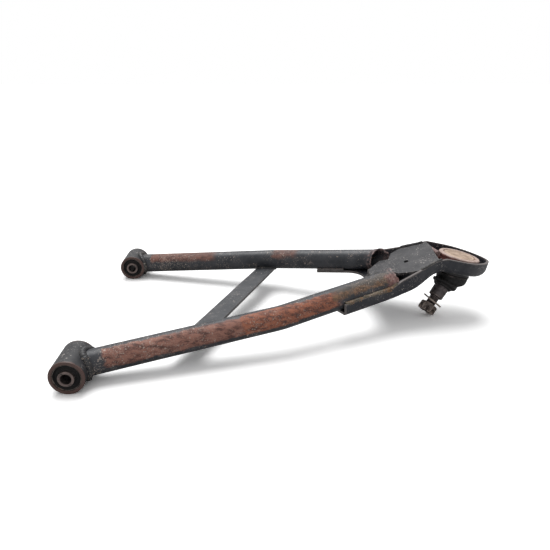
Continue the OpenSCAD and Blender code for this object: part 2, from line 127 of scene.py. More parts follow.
camera_data = bpy.data.cameras.new("camera")
camera_data.sensor_width = 36.0
camera_data.lens = 34.82
camera_data.clip_start = 0.01
camera = bpy.data.objects.new("camera", camera_data)
camera.location = (-0.05479, -0.59719, 0.26721)
camera.rotation_euler = (math.radians(69.961), 0, math.radians(-3.049))
scene.collection.objects.link(camera)
scene.camera = camera

# ---------------------------------------------------------------------------
# Arm tubes: two lengths of 1 inch steel tube, each bent once, coped over its
# pivot barrel and left ragged at its outer end. Black paint, and a long band
# of rust along the top and the outside where the paint has gone.
# ---------------------------------------------------------------------------
record = frame["record"]
mounts = {m["name"]: Vector(m["pos_m"]) for m in record["mounts"]}
pivots = {"front": mounts["front_pivot_bore"], "rear": mounts["rear_pivot_bore"]}
barrel_r = 16.5 * mm
tube_r = 12.7 * mm
tube_wall = 2.0 * mm
bend_r = 90.0 * mm
bend_x = 198.0 * mm
inner_angle, inner_rise = math.radians(15.2), math.radians(5.75)
outer_angle, outer_rise = math.radians(24.2), math.radians(6.76)
outer_run = {"front": 143.0 * mm, "rear": 148.0 * mm}
end_slant = {"front": 0.0, "rear": math.tan(math.radians(38))}
cope_start = 21.0 * mm


def heading(plan, rise):
    return Vector((math.cos(rise) * math.cos(plan), math.cos(rise) * math.sin(plan), math.sin(rise)))


def tube_centre_line(side):
    """points down the middle of one tube, from its barrel's axis to its outer end"""
    turn = 1 if side == "front" else -1
    first, last = heading(turn * inner_angle, inner_rise), heading(turn * outer_angle, outer_rise)
    angle = first.angle(last)
    run = bend_x / (math.cos(inner_rise) * math.cos(inner_angle))
    tangent = bend_r * math.tan(angle / 2)
    start = pivots[side]
    bend_start = start + first * (run - tangent)
    towards = (last - first * first.dot(last)).normalized()
    middle = bend_start + towards * bend_r
    arc = [middle + bend_r * (first * math.sin(a) - towards * math.cos(a))
           for a in np.linspace(0, angle, 9)]
    end = start + first * run + last * outer_run[side]
    return [start + first * cope_start] + arc + [end], first, last


def meet(point, direction, on_axis, axis, radius):
    """where a line from a point along a direction first meets a cylinder's surface"""
    d = direction - axis * direction.dot(axis)
    p = (point - on_axis) - axis * (point - on_axis).dot(axis)
    a, b, c = d.dot(d), p.dot(d), p.dot(p) - radius * radius
    return point + direction * ((-b - math.sqrt(max(b * b - a * c, 0))) / a)


def value_field(tree, a, operation, b=1.0, clamp=False):
    return add(tree, "ShaderNodeMath", {"operation": operation, "use_clamp": clamp},
               {0: a, 1: b}).outputs[0]


def times(tree, a, b):
    return value_field(tree, a, "MULTIPLY", b)


def plus(tree, a, b):
    return value_field(tree, a, "ADD", b)


def curve_object(name, paths, closed=False):
    """a curve with one straight-sided spline for each path"""
    data = bpy.data.curves.new(name, "CURVE")
    data.dimensions = "3D"
    for path in paths:
        spline = data.splines.new("POLY")
        spline.points.add(len(path) - 1)
        for point, place in zip(spline.points, path):
            point.co = (*place, 1)
        spline.use_cyclic_u = closed
    made = bpy.data.objects.new(name, data)
    scene.collection.objects.link(made)
    return made


def modified(source, steps):
    """an object's mesh after a list of modifiers, and the object gone"""
    for kind, settings in steps:
        made = source.modifiers.new(kind.lower(), kind)
        for key, value in settings.items():
            setattr(made, key, value)
    bpy.context.view_layer.update()
    graph = bpy.context.evaluated_depsgraph_get()
    mesh = bpy.data.meshes.new_from_object(source.evaluated_get(graph), depsgraph=graph)
    bpy.data.objects.remove(source)
    return mesh


def grow(source, tree, values, more=()):
    """the mesh that a node tree, and any further modifiers, make from an object"""
    modifier = source.modifiers.new("nodes", "NODES")
    modifier.node_group = tree
    names = {i.name: i.identifier for i in tree.interface.items_tree if i.in_out == "INPUT"}
    for key, value in values.items():
        modifier[names[key]] = value
    return modified(source, more)


def geometry_tree(name, sockets):
    tree = bpy.data.node_groups.new(name, "GeometryNodeTree")
    tree.interface.new_socket("Geometry", in_out="INPUT", socket_type="NodeSocketGeometry")
    for label, kind in sockets:
        tree.interface.new_socket(label, in_out="INPUT", socket_type="NodeSocket" + kind)
    tree.interface.new_socket("Geometry", in_out="OUTPUT", socket_type="NodeSocketGeometry")
    return tree, add(tree, "NodeGroupInput").outputs, add(tree, "NodeGroupOutput").inputs


def keep_field(tree, geometry, name, value):
    return add(tree, "GeometryNodeStoreNamedAttribute", {"data_type": "FLOAT", "domain": "POINT"},
               {"Geometry": geometry, "Name": name, "Value": value}).outputs[0]


def finish_tree(tree, geometry, material, out):
    real = add(tree, "GeometryNodeRealizeInstances", feed={"Geometry": geometry}).outputs[0]
    done = add(tree, "GeometryNodeSetMaterial", feed={"Geometry": real, "Material": material}).outputs[0]
    tree.links.new(done, out[0])


# drawn tube: a round skin along a curve that keeps how far along it is; which way it faces is added to each
# tube after
drawn_tube, tube_in, tube_out = geometry_tree(
    "drawn_tube", [("Radius", "Float"), ("Spacing", "Float"), ("Sides", "Int"), ("Material", "Material")])
fine_path = add(drawn_tube, "GeometryNodeResampleCurve", {"mode": "LENGTH"},
                {"Curve": tube_in["Geometry"], "Length": tube_in["Spacing"]}).outputs[0]
along = add(drawn_tube, "GeometryNodeSplineParameter").outputs["Length"]
fine_path = keep_field(drawn_tube, fine_path, "along", along)
ring = add(drawn_tube, "GeometryNodeCurvePrimitiveCircle", {"mode": "RADIUS"},
           {"Resolution": tube_in["Sides"], "Radius": tube_in["Radius"]}).outputs[0]
skin = add(drawn_tube, "GeometryNodeCurveToMesh",
           feed={"Curve": fine_path, "Profile Curve": ring}).outputs[0]
finish_tree(drawn_tube, skin, tube_in["Material"], tube_out)


@contextmanager
def edited(mesh):
    """opens a mesh for editing and writes it back"""
    form = bmesh.new()
    form.from_mesh(mesh)
    yield form
    form.to_mesh(mesh)
    form.free()


def lay_piece(name, mesh, body, slot_name, nodes=(), smooth_angle=35):
    """puts a finished mesh in the scene on its body: outward normals, soft shading, edge wear noted"""
    mesh.name = name
    with edited(mesh) as form:
        bmesh.ops.remove_doubles(form, verts=form.verts, dist=0.001 * mm)
        bmesh.ops.dissolve_degenerate(form, edges=form.edges, dist=0.0005 * mm)
        bmesh.ops.recalc_face_normals(form, faces=form.faces)
        form.normal_update()
        sharp = np.zeros(len(form.verts))
        for edge in form.edges:
            if len(edge.link_faces) == 2:
                bend = edge.calc_face_angle_signed(0.0)
                for vert in edge.verts:
                    sharp[vert.index] = max(sharp[vert.index], bend)
    worn = mesh.attributes.new("edge", "FLOAT", "POINT")
    worn.data.foreach_set("value", np.clip(sharp / 0.6, 0, 1).astype(np.float32))
    mesh.shade_smooth()
    mesh.set_sharp_from_angle(angle=math.radians(smooth_angle))
    made = bpy.data.objects.new(name, mesh)
    scene.collection.objects.link(made)
    if body is not None:
        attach(made, body)
    if nodes:
        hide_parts(*nodes)
    return made


# --- finishes that the tubes share with the rest of the arm
def shader_group(name, inputs, outputs):
    tree = bpy.data.node_groups.new(name, "ShaderNodeTree")
    for label, kind, value in inputs:
        made = tree.interface.new_socket(label, in_out="INPUT", socket_type="NodeSocket" + kind)
        if value is not None:
            made.default_value = value
    for label, kind in outputs:
        tree.interface.new_socket(label, in_out="OUTPUT", socket_type="NodeSocket" + kind)
    return tree, add(tree, "NodeGroupInput").outputs, add(tree, "NodeGroupOutput").inputs


def ramp(tree, value, low, high, to_low=0.0, to_high=1.0):
    """a value taken smoothly from one range to another, and held at its ends"""
    return add(tree, "ShaderNodeMapRange", {"interpolation_type": "SMOOTHSTEP", "clamp": True},
               {0: value, 1: low, 2: high, 3: to_low, 4: to_high}).outputs[0]


def cloud(tree, place, scale, detail=4.0, roughness=0.55, distortion=0.0):
    return add(tree, "ShaderNodeTexNoise", {"noise_dimensions": "3D"},
               {"Vector": place, "Scale": scale, "Detail": detail, "Roughness": roughness,
                "Distortion": distortion}).outputs[0]


def mix_colour(tree, mask, a, b):
    return add(tree, "ShaderNodeMix", {"data_type": "RGBA", "clamp_factor": True},
               {0: mask, 6: a, 7: b}).outputs[2]


def mix_value(tree, mask, a, b):
    return add(tree, "ShaderNodeMix", {"data_type": "FLOAT", "clamp_factor": True},
               {0: mask, 2: a, 3: b}).outputs[0]


# brown rust: blotches from dark brown to orange, gritty, with pale scale here and there
rust_coat, coat_in, coat_out = shader_group(
    "rust_coat",
    [("Place", "Vector", None), ("Dark", "Color", (0.05, 0.02, 0.013, 1)),
     ("Light", "Color", (0.30, 0.10, 0.055, 1)), ("Scale", "Float", 160.0)],
    [("Colour", "Color"), ("Roughness", "Float"), ("Height", "Float")])
blotch = cloud(rust_coat, coat_in["Place"], coat_in["Scale"], 5.0, 0.62, 0.3)
grit = cloud(rust_coat, coat_in["Place"], times(rust_coat, coat_in["Scale"], 5.5),
             3.0, 0.6)
rust_tone = plus(rust_coat, times(rust_coat, blotch, 0.65), times(rust_coat, grit, 0.35))
rust_mix = mix_colour(rust_coat, ramp(rust_coat, rust_tone, 0.38, 0.58), coat_in["Dark"], coat_in["Light"])
rust_coat.links.new(rust_mix, coat_out["Colour"])
rust_coat.links.new(ramp(rust_coat, grit, 0.3, 0.7, 0.5, 0.85), coat_out["Roughness"])
rust_coat.links.new(rust_tone, coat_out["Height"])

# old black paint: slightly uneven, greyed by dust, with finer grain in its gloss
paint_coat, coat_in, coat_out = shader_group(
    "paint_coat",
    [("Place", "Vector", None), ("Paint", "Color", (0.02, 0.022, 0.027, 1)),
     ("Dusty", "Color", (0.09, 0.09, 0.095, 1)), ("Dust", "Float", 0.4)],
    [("Colour", "Color"), ("Roughness", "Float"), ("Height", "Float")])
haze = cloud(paint_coat, coat_in["Place"], 45.0, 5.0, 0.6, 0.4)
speckle = cloud(paint_coat, coat_in["Place"], 420.0, 3.0, 0.6)
haze = plus(paint_coat, haze, times(paint_coat, speckle, 0.35))
dust_mask = times(paint_coat, ramp(paint_coat, haze, 0.5, 0.9), coat_in["Dust"])
paint_coat.links.new(mix_colour(paint_coat, dust_mask, coat_in["Paint"], coat_in["Dusty"]),
                     coat_out["Colour"])
paint_coat.links.new(ramp(paint_coat, speckle, 0.3, 0.7, 0.34, 0.5), coat_out["Roughness"])
paint_coat.links.new(times(paint_coat, speckle, 0.25), coat_out["Height"])

# pale chips: small sharp flecks where stones have struck, thick in some places and rare in others
chip_marks, chip_in, chip_out = shader_group(
    "chip_marks",
    [("Place", "Vector", None), ("Scale", "Float", 320.0), ("Amount", "Float", 0.3)],
    [("Mask", "Float")])
chip_warp = add(chip_marks, "ShaderNodeTexNoise",
                feed={"Vector": chip_in["Place"], "Scale": 260.0, "Detail": 2.0}).outputs[1]
chip_place = add(chip_marks, "ShaderNodeVectorMath", {"operation": "MULTIPLY_ADD"},
                 {0: chip_warp, 1: (0.006, 0.006, 0.006), 2: chip_in["Place"]}).outputs[0]
chip_cell = add(chip_marks, "ShaderNodeTexVoronoi", {"feature": "F1"},
                {"Vector": chip_place, "Scale": chip_in["Scale"]})
chip_pick = add(chip_marks, "ShaderNodeSeparateColor", feed={0: chip_cell.outputs["Color"]}).outputs[0]
chip_patch = ramp(chip_marks, cloud(chip_marks, chip_in["Place"], 38.0, 3.0), 0.38, 0.66)
chip_limit = value_field(chip_marks, times(chip_marks, chip_in["Amount"], chip_patch),
                         "SUBTRACT", chip_pick)
chip_spot = ramp(chip_marks, chip_cell.outputs["Distance"], 0.42, 0.26)
chip_marks.links.new(times(chip_marks, ramp(chip_marks, chip_limit, -0.01, 0.02), chip_spot),
                     chip_out["Mask"])

# scratches: thin pale curved lines, here and there
scratch_marks, scratch_in, scratch_out = shader_group(
    "scratch_marks",
    [("Place", "Vector", None), ("Scale", "Float", 60.0), ("Amount", "Float", 0.5)], [("Mask", "Float")])
contour = cloud(scratch_marks, scratch_in["Place"], scratch_in["Scale"], 2.0, 0.5, 1.2)
off_line = value_field(scratch_marks, value_field(scratch_marks, contour, "SUBTRACT", 0.5), "ABSOLUTE")
thin = ramp(scratch_marks, off_line, 0.012, 0.003)
where = ramp(scratch_marks, cloud(scratch_marks, scratch_in["Place"], 75.0, 3.0, 0.6), 0.5, 0.62)
thin = times(scratch_marks, thin, where)
scratch_marks.links.new(times(scratch_marks, thin, scratch_in["Amount"]),
                        scratch_out["Mask"])

# edge wear: paint rubbed off along the outward edges, broken up so that it isn't a line
edge_wear, wear_in, wear_out = shader_group(
    "edge_wear",
    [("Place", "Vector", None), ("Edge", "Float", 0.0), ("Amount", "Float", 0.5)],
    [("Mask", "Float")])
wear_noise = cloud(edge_wear, wear_in["Place"], 210.0, 4.0, 0.7)
wear_sum = plus(edge_wear, times(edge_wear, wear_in["Edge"], wear_in["Amount"]),
                times(edge_wear, wear_noise, 0.8))
edge_wear.links.new(ramp(edge_wear, wear_sum, 0.62, 0.86), wear_out["Mask"])


def use(tree, group, **feed):
    made = add(tree, "ShaderNodeGroup", {"node_tree": group})
    for key, value in feed.items():
        if isinstance(value, bpy.types.NodeSocket):
            tree.links.new(value, made.inputs[key])
        else:
            made.inputs[key].default_value = value
    return made.outputs


def own_place(tree):
    return add(tree, "ShaderNodeTexCoord").outputs["Object"]


def kept(tree, name):
    return add(tree, "ShaderNodeAttribute", {"attribute_name": name}).outputs


def cover(tree, mask, under, over):
    """one coat over another: colour, roughness and height"""
    return {"Colour": mix_colour(tree, mask, under["Colour"], over["Colour"]),
            "Roughness": mix_value(tree, mask, under["Roughness"], over["Roughness"]),
            "Height": mix_value(tree, mask, under["Height"], over["Height"])}


def finish_coat(tree, shader, coat, depth=0.4, metal=None):
    tree.links.new(coat["Colour"], shader.inputs["Base Color"])
    tree.links.new(coat["Roughness"], shader.inputs["Roughness"])
    if metal is not None:
        tree.links.new(metal, shader.inputs["Metallic"])
    bump = add(tree, "ShaderNodeBump", feed={"Strength": depth, "Distance": 0.6 * mm,
                                             "Height": coat["Height"]})
    tree.links.new(bump.outputs[0], shader.inputs["Normal"])


def rusty_tube_finish(name, bands):
    """black paint, with bands of rust: each gives where it starts and stops in millimetres from the
    pivot, its strength, the way it faces, how squarely the tube must face it, and its two colours"""
    made, tree, shader = new_material(name)
    place = own_place(tree)
    along_tube = kept(tree, "along")["Fac"]
    section_way = kept(tree, "section")["Vector"]
    drawn_out = add(tree, "ShaderNodeVectorMath", {"operation": "MULTIPLY"},
                    {0: place, 1: (0.4, 1, 1)}).outputs[0]
    ragged = cloud(tree, place, 70.0, 6.0, 0.7, 0.5)
    wander = times(tree, value_field(tree, ragged, "SUBTRACT", 0.5), 0.6)
    jagged = plus(tree, along_tube, times(tree, wander, 0.03))
    paint = use(tree, paint_coat, Place=place, Paint=(0.026, 0.029, 0.036, 1),
                Dusty=(0.10, 0.10, 0.11, 1), Dust=0.45)
    coat = {key: paint[key] for key in ("Colour", "Roughness", "Height")}
    for start, stop, strength, facing, low, high, dark, light in bands:
        faces = add(tree, "ShaderNodeVectorMath", {"operation": "DOT_PRODUCT"},
                    {0: section_way, 1: facing}).outputs["Value"]
        band = ramp(tree, plus(tree, faces, wander), low, high)
        span = times(tree, ramp(tree, jagged, start * mm, (start + 4) * mm),
                     ramp(tree, jagged, stop * mm, (stop - 12) * mm))
        span = times(tree, span, strength)
        rust = use(tree, rust_coat, Place=drawn_out, Dark=dark, Light=light, Scale=240.0)
        coat = cover(tree, value_field(tree, band, "MULTIPLY", span, clamp=True), coat, rust)
    chips = use(tree, chip_marks, Place=place, Scale=430.0, Amount=0.30)["Mask"]
    fine_chips = use(tree, chip_marks, Place=place, Scale=900.0, Amount=0.55)["Mask"]
    scratches = use(tree, scratch_marks, Place=place, Scale=85.0, Amount=0.6)["Mask"]
    fine_chips = times(tree, fine_chips, 0.7)
    marks = value_field(tree, value_field(tree, chips, "MAXIMUM", fine_chips), "MAXIMUM", scratches)
    coat["Colour"] = mix_colour(tree, times(tree, marks, 0.7), coat["Colour"],
                                (0.46, 0.37, 0.32, 1))
    # pale flakes, thickest beside the pivot
    flakes = times(tree, use(tree, chip_marks, Place=place, Scale=700.0, Amount=0.6)["Mask"],
                   ramp(tree, along_tube, 120 * mm, 40 * mm, 0.0, 0.6))
    coat["Colour"] = mix_colour(tree, flakes, coat["Colour"], (0.62, 0.53, 0.46, 1))
    rim = times(tree, kept(tree, "ragged_end")["Fac"], ramp(tree, cloud(tree, place, 300.0), 0.36, 0.6))
    coat["Colour"] = mix_colour(tree, rim, coat["Colour"], (0.40, 0.27, 0.25, 1))
    finish_coat(tree, shader, coat, 0.6)
    return made


deep_rust, pale_rust = (0.095, 0.040, 0.031, 1), (0.33, 0.155, 0.115, 1)
warm_rust, dull_rust = (0.38, 0.135, 0.075, 1), (0.235, 0.105, 0.076, 1)
tube_finish = {
    "front": rusty_tube_finish("front_tube_finish", [
        (27, 205, 1.0, (0.0, -0.885, 0.466), 0.61, 0.76, deep_rust, pale_rust),
        (160, 276, 1.0, (0.0, -0.84, 0.54), 0.52, 0.70, deep_rust, warm_rust),
        (262, 350, 0.6, (0.0, -0.45, 0.89), 0.72, 0.95, (0.055, 0.045, 0.035, 1), (0.15, 0.115, 0.085, 1)),
        (262, 345, 0.9, (0.0, -0.74, 0.67), 0.88, 1.0, (0.09, 0.058, 0.036, 1), (0.27, 0.15, 0.085, 1)),
        (268, 330, 0.8, (0.0, -0.95, 0.30), 0.93, 1.0, (0.045, 0.035, 0.04, 1), (0.13, 0.085, 0.08, 1)),
        (334, 360, 0.8, (0.0, -0.80, 0.60), 0.70, 0.9, (0.10, 0.05, 0.045, 1), (0.28, 0.13, 0.115, 1))]),
    "rear": rusty_tube_finish("rear_tube_finish", [
        (28, 132, 0.9, (0.0, -0.42, 0.91), 0.55, 0.85, deep_rust, dull_rust),
        (208, 250, 0.75, (0.0, -0.42, 0.91), 0.60, 0.85, deep_rust, dull_rust)]),
}
slant_reach = 40 * mm
ragged_reach = 11 * mm
tube_lines = {}
for side in ("front", "rear"):
    path, first, last = tube_lines[side] = tube_centre_line(side)
    mesh = grow(curve_object(side, [path]), drawn_tube,
                {"Radius": tube_r, "Spacing": 2.5 * mm, "Sides": 72, "Material": tube_finish[side]},
                [("SOLIDIFY", {"thickness": tube_wall, "offset": -1.0, "use_even_offset": True})])
    lengths = np.zeros(len(mesh.vertices))
    mesh.attributes["along"].data.foreach_get("value", lengths)
    total = lengths.max()
    section = np.zeros((len(mesh.vertices), 3))
    ragged = np.zeros(len(mesh.vertices))
    points = [Vector(p) for p in path]
    outboard = -Vector((0, -1 if side == "front" else 1, 0)).cross(last).cross(last).normalized()
    corner = points[0] + first * (bend_x / (math.cos(inner_rise) * math.cos(inner_angle)))
    mesh.attributes["along"].data.foreach_set("value", (lengths + cope_start).astype(np.float32))
    for vert, length in zip(mesh.vertices, lengths):
        co = vert.co.copy()
        leg, run = (first, co - points[0]) if (co - corner).dot(first) < 0 else (last, co - corner)
        out = (run - leg * run.dot(leg)).normalized()
        section[vert.index] = (out.dot(leg), out.y, out.z)
        if length < 0.1 * mm:
            vert.co = meet(co, -first, pivots[side], Vector((0, 1, 0)), barrel_r + 0.02 * mm)
        from_end = total - length
        if from_end < slant_reach:
            reach = out.dot(outboard) * tube_r * end_slant[side]
            co = co + last * (reach * (1 - from_end / slant_reach))
            vert.co = co
        near_end = max(0.0, 1 - from_end / ragged_reach)
        if near_end > 0:
            # the torch-cut end: uneven, with two rolled ridges behind its lip
            swell = noise.noise(out * 2.3 + leg * 4.0) * 1.5 + 0.3
            curl = noise.noise(out * 3.1 + Vector((7, 3, 1)))
            ridge = 0.7 * math.sin(near_end * 15.0) * near_end
            co = co + out * ((swell * near_end ** 2 + ridge) * mm)
            vert.co = co + leg * (curl * 2.4 * near_end ** 2 * mm)
            ragged[vert.index] = near_end * (0.62 + 0.38 * math.sin(near_end * 15.0))
    mesh.attributes.new("section", "FLOAT_VECTOR", "POINT").data.foreach_set(
        "vector", section.ravel().astype(np.float32))
    mesh.attributes.new("ragged_end", "FLOAT", "POINT").data.foreach_set(
        "value", ragged.astype(np.float32))
    lay_piece("drawn_tube_" + side, mesh, "arm", "rusty_paint", [side + "_tube"])

# ---------------------------------------------------------------------------
# Pivot barrels: short lengths of heavy pipe across the tube ends, painted
# black like the arm, with the paint gone from the rims of their end faces.
# ---------------------------------------------------------------------------
def rounded_outline(points, radius, closed=True):
    """an outline with its corners taken off: points are (radius, height) and may add their own rounding"""
    count, made = len(points), []
    for i, corner in enumerate(points):
        here = np.array(corner[:2], float)
        r = corner[2] if len(corner) > 2 else radius
        if not closed and i in (0, count - 1) or r == 0:
            made.append(here)
            continue
        before, after = np.array(points[i - 1][:2], float), np.array(points[(i + 1) % count][:2], float)
        a, b = before - here, after - here
        cut = min(r, np.linalg.norm(a) * 0.45, np.linalg.norm(b) * 0.45)
        a, b = here + a / np.linalg.norm(a) * cut, here + b / np.linalg.norm(b) * cut
        made += [a, (a + here * 2 + b) / 4, b] if cut < 0.6 else \
            [a * (1 - t) ** 2 + here * 2 * t * (1 - t) + b * t ** 2 for t in np.linspace(0, 1, 6)]
    return made


def turned(name, outline, place, material, body, slot_name, nodes=(), closed=True, sides=96,
           radius=0.35, shape=None, **lay):
    """a turned piece: an outline in millimetres spun round its own Z, then put in place"""
    longest_step = 2.5
    points = []
    rounded = rounded_outline(outline, radius, closed)
    for one, two in zip(rounded, rounded[1:] + (rounded[:1] if closed else rounded[-1:])):
        steps = max(1, math.ceil(np.linalg.norm(two - one) / longest_step))
        points += [one + (two - one) * k / steps for k in range(steps)]
    verts, rows = [], []
    for r, z in points:
        if r < 1e-6:
            rows.append([len(verts)] * sides)
            verts.append(Vector((0, 0, z)))
            continue
        rows.append(list(range(len(verts), len(verts) + sides)))
        for k in range(sides):
            a = 2 * math.pi * k / sides
            own_r, own_z = shape(r, z, a) if shape else (r, z)
            verts.append(Vector((own_r * math.cos(a), own_r * math.sin(a), own_z)))
    faces = []
    for i in range(len(rows) if closed else len(rows) - 1):
        one, two = rows[i], rows[(i + 1) % len(rows)]
        for k in range(sides):
            n = (k + 1) % sides
            corners = []
            for c in (one[k], one[n], two[n], two[k]):
                if c not in corners:
                    corners.append(c)
            if len(corners) > 2:
                faces.append(corners)
    mesh = bpy.data.meshes.new(name)
    mesh.from_pydata([place @ (v * mm) for v in verts], [], faces)
    mesh.materials.append(material)
    return lay_piece(name, mesh, body, slot_name, nodes, **lay)


def frame_at(origin, axis):
    """a placement with its Z along an axis"""
    z = Vector(axis).normalized()
    up = Vector((0, 0, 1))
    x = (up - z * up.dot(z)).normalized()
    turn = Matrix((x, z.cross(x), z)).transposed().to_4x4()
    return Matrix.Translation(origin) @ turn


def painted_finish(name, paint, dusty, dust, chips, wear, bare, rust=0.0, chip_tone=(0.36, 0.33, 0.31, 1),
                   scratch=0.35, rust_light=(0.22, 0.09, 0.06, 1), rust_dark=(0.05, 0.025, 0.02, 1)):
    """paint over steel: chipped by stones, rubbed through at the edges, with blooms of rust"""
    made, tree, shader = new_material(name)
    place = own_place(tree)
    paint_made = use(tree, paint_coat, Place=place, Paint=paint, Dusty=dusty, Dust=dust)
    rust_made = use(tree, rust_coat, Place=place, Dark=rust_dark, Light=rust_light, Scale=190.0)
    bloom = ramp(tree, cloud(tree, place, 55.0, 5.0, 0.65, 0.6), 0.78 - 0.4 * rust, 0.90 - 0.4 * rust)
    coat = cover(tree, bloom, paint_made, rust_made)
    large = use(tree, chip_marks, Place=place, Scale=460.0, Amount=chips)["Mask"]
    small = use(tree, chip_marks, Place=place, Scale=950.0, Amount=chips * 1.6)["Mask"]
    scored = use(tree, scratch_marks, Place=place, Scale=70.0, Amount=scratch)["Mask"]
    small = times(tree, small, 0.6)
    mask = value_field(tree, value_field(tree, large, "MAXIMUM", small), "MAXIMUM", scored)
    coat["Colour"] = mix_colour(tree, mask, coat["Colour"], chip_tone)
    rubbed = use(tree, edge_wear, Place=place, Edge=kept(tree, "edge")["Fac"], Amount=wear)["Mask"]
    coat["Colour"] = mix_colour(tree, rubbed, coat["Colour"], bare)
    finish_coat(tree, shader, coat, 0.35)
    return made


barrel_finish = painted_finish("barrel_paint", (0.018, 0.019, 0.023, 1), (0.080, 0.077, 0.078, 1), 0.55,
                               0.2, 0.95, (0.115, 0.066, 0.056, 1), rust=0.22, scratch=0.5)
barrel_half = 21.5
barrel_outer = 16.5
bush_bore = 13.5
for side in ("front", "rear"):
    turned(side + "_barrel_pipe",
           [(bush_bore, -barrel_half), (barrel_outer, -barrel_half, 0.5), (barrel_outer, barrel_half, 0.5),
            (bush_bore, barrel_half)],
           frame_at(pivots[side], (0, 1, 0)), barrel_finish, "arm", "black_paint",
           [side + "_pivot_barrel"])

# ---------------------------------------------------------------------------
# Pivot bushes: a thin steel shell pressed in the barrel, a dished ring of
# black rubber bonded in it, and the steel inner sleeve that the bolt clamps.
# ---------------------------------------------------------------------------
def steel_finish(name, bare, dark, scale=260.0, metal=0.6, rough=(0.35, 0.6), wear=0.4,
                 rim=(0.4, 0.34, 0.3, 1), rust=0.3, rust_light=(0.2, 0.085, 0.055, 1)):
    """bare or blackened steel that has tarnished in patches, with a little rust"""
    made, tree, shader = new_material(name)
    place = own_place(tree)
    tarnish = cloud(tree, place, scale, 5.0, 0.62, 0.3)
    fine = cloud(tree, place, scale * 4, 3.0, 0.6)
    coat = {"Colour": mix_colour(tree, ramp(tree, tarnish, 0.32, 0.68), dark, bare),
            "Roughness": ramp(tree, fine, 0.3, 0.7, rough[0], rough[1]),
            "Height": times(tree, fine, 0.5)}
    rust_made = use(tree, rust_coat, Place=place, Dark=(0.045, 0.022, 0.016, 1), Light=rust_light,
                    Scale=scale)
    bloom = ramp(tree, cloud(tree, place, scale * 0.45, 5.0, 0.65, 0.6), 0.76 - 0.5 * rust,
                 0.92 - 0.5 * rust)
    coat = cover(tree, bloom, coat, rust_made)
    rubbed = use(tree, edge_wear, Place=place, Edge=kept(tree, "edge")["Fac"], Amount=wear)["Mask"]
    coat["Colour"] = mix_colour(tree, rubbed, coat["Colour"], rim)
    finish_coat(tree, shader, coat, 0.25, mix_value(tree, bloom, metal, 0.0))
    return made


def rubber_finish(name, tone, dusty, dust=0.4):
    made, tree, shader = new_material(name)
    place = own_place(tree)
    bloom = cloud(tree, place, 90.0, 5.0, 0.65, 0.4)
    grain = cloud(tree, place, 900.0, 2.0)
    facing = add(tree, "ShaderNodeNewGeometry").outputs["Normal"]
    up = add(tree, "ShaderNodeSeparateXYZ", feed={0: facing}).outputs[2]
    settled = times(tree, ramp(tree, up, -0.2, 1.0), dust)
    patches = times(tree, ramp(tree, bloom, 0.5, 0.75), dust * 0.6)
    mask = value_field(tree, settled, "ADD", patches, clamp=True)
    coat = {"Colour": mix_colour(tree, mask, tone, dusty),
            "Roughness": ramp(tree, grain, 0.3, 0.7, 0.6, 0.85), "Height": grain}
    finish_coat(tree, shader, coat, 0.15)
    return made


shell_finish = steel_finish("bush_shell_steel", (0.10, 0.085, 0.08, 1), (0.03, 0.026, 0.026, 1), rust=0.5)
bush_rubber = rubber_finish("bush_rubber", (0.010, 0.010, 0.011, 1), (0.05, 0.042, 0.038, 1), 0.35)
sleeve_finish = steel_finish("sleeve_steel", (0.115, 0.095, 0.092, 1), (0.045, 0.036, 0.035, 1), 420.0, 0.5,
                             rim=(0.24, 0.185, 0.17, 1), wear=0.7, rust=0.3)
shell_half = 20.7
shell_inner = 12.5
sleeve_half = 23.5
for side, sleeve_body in (("front", "front_inner_sleeve"), ("rear", "rear_inner_sleeve")):
    place = frame_at(pivots[side], (0, 1, 0))
    turned(side + "_bush_ring", [(shell_inner, -shell_half), (bush_bore, -shell_half),
                                 (bush_bore, shell_half), (shell_inner, shell_half)],
           place, shell_finish, "arm", "bare_steel", [side + "_bush_shell"])
    turned(side + "_bush_block",
           [(7.55, -shell_half + 0.4), (9.2, -shell_half + 2.9, 2.0), (11.0, -shell_half + 2.9, 2.0),
            (shell_inner, -shell_half + 0.3), (shell_inner, shell_half - 0.3),
            (11.0, shell_half - 2.9, 2.0), (9.2, shell_half - 2.9, 2.0), (7.55, shell_half - 0.4)],
           place, bush_rubber, "arm", "rubber", [side + "_bush_rubber"], smooth_angle=50)
    turned(side + "_bolt_sleeve",
           [(5.15, -sleeve_half, 0.5), (7.5, -sleeve_half, 0.4), (7.5, sleeve_half, 0.4),
            (5.15, sleeve_half, 0.5)],
           place, sleeve_finish, sleeve_body, "bare_steel", [side + "_sleeve"])

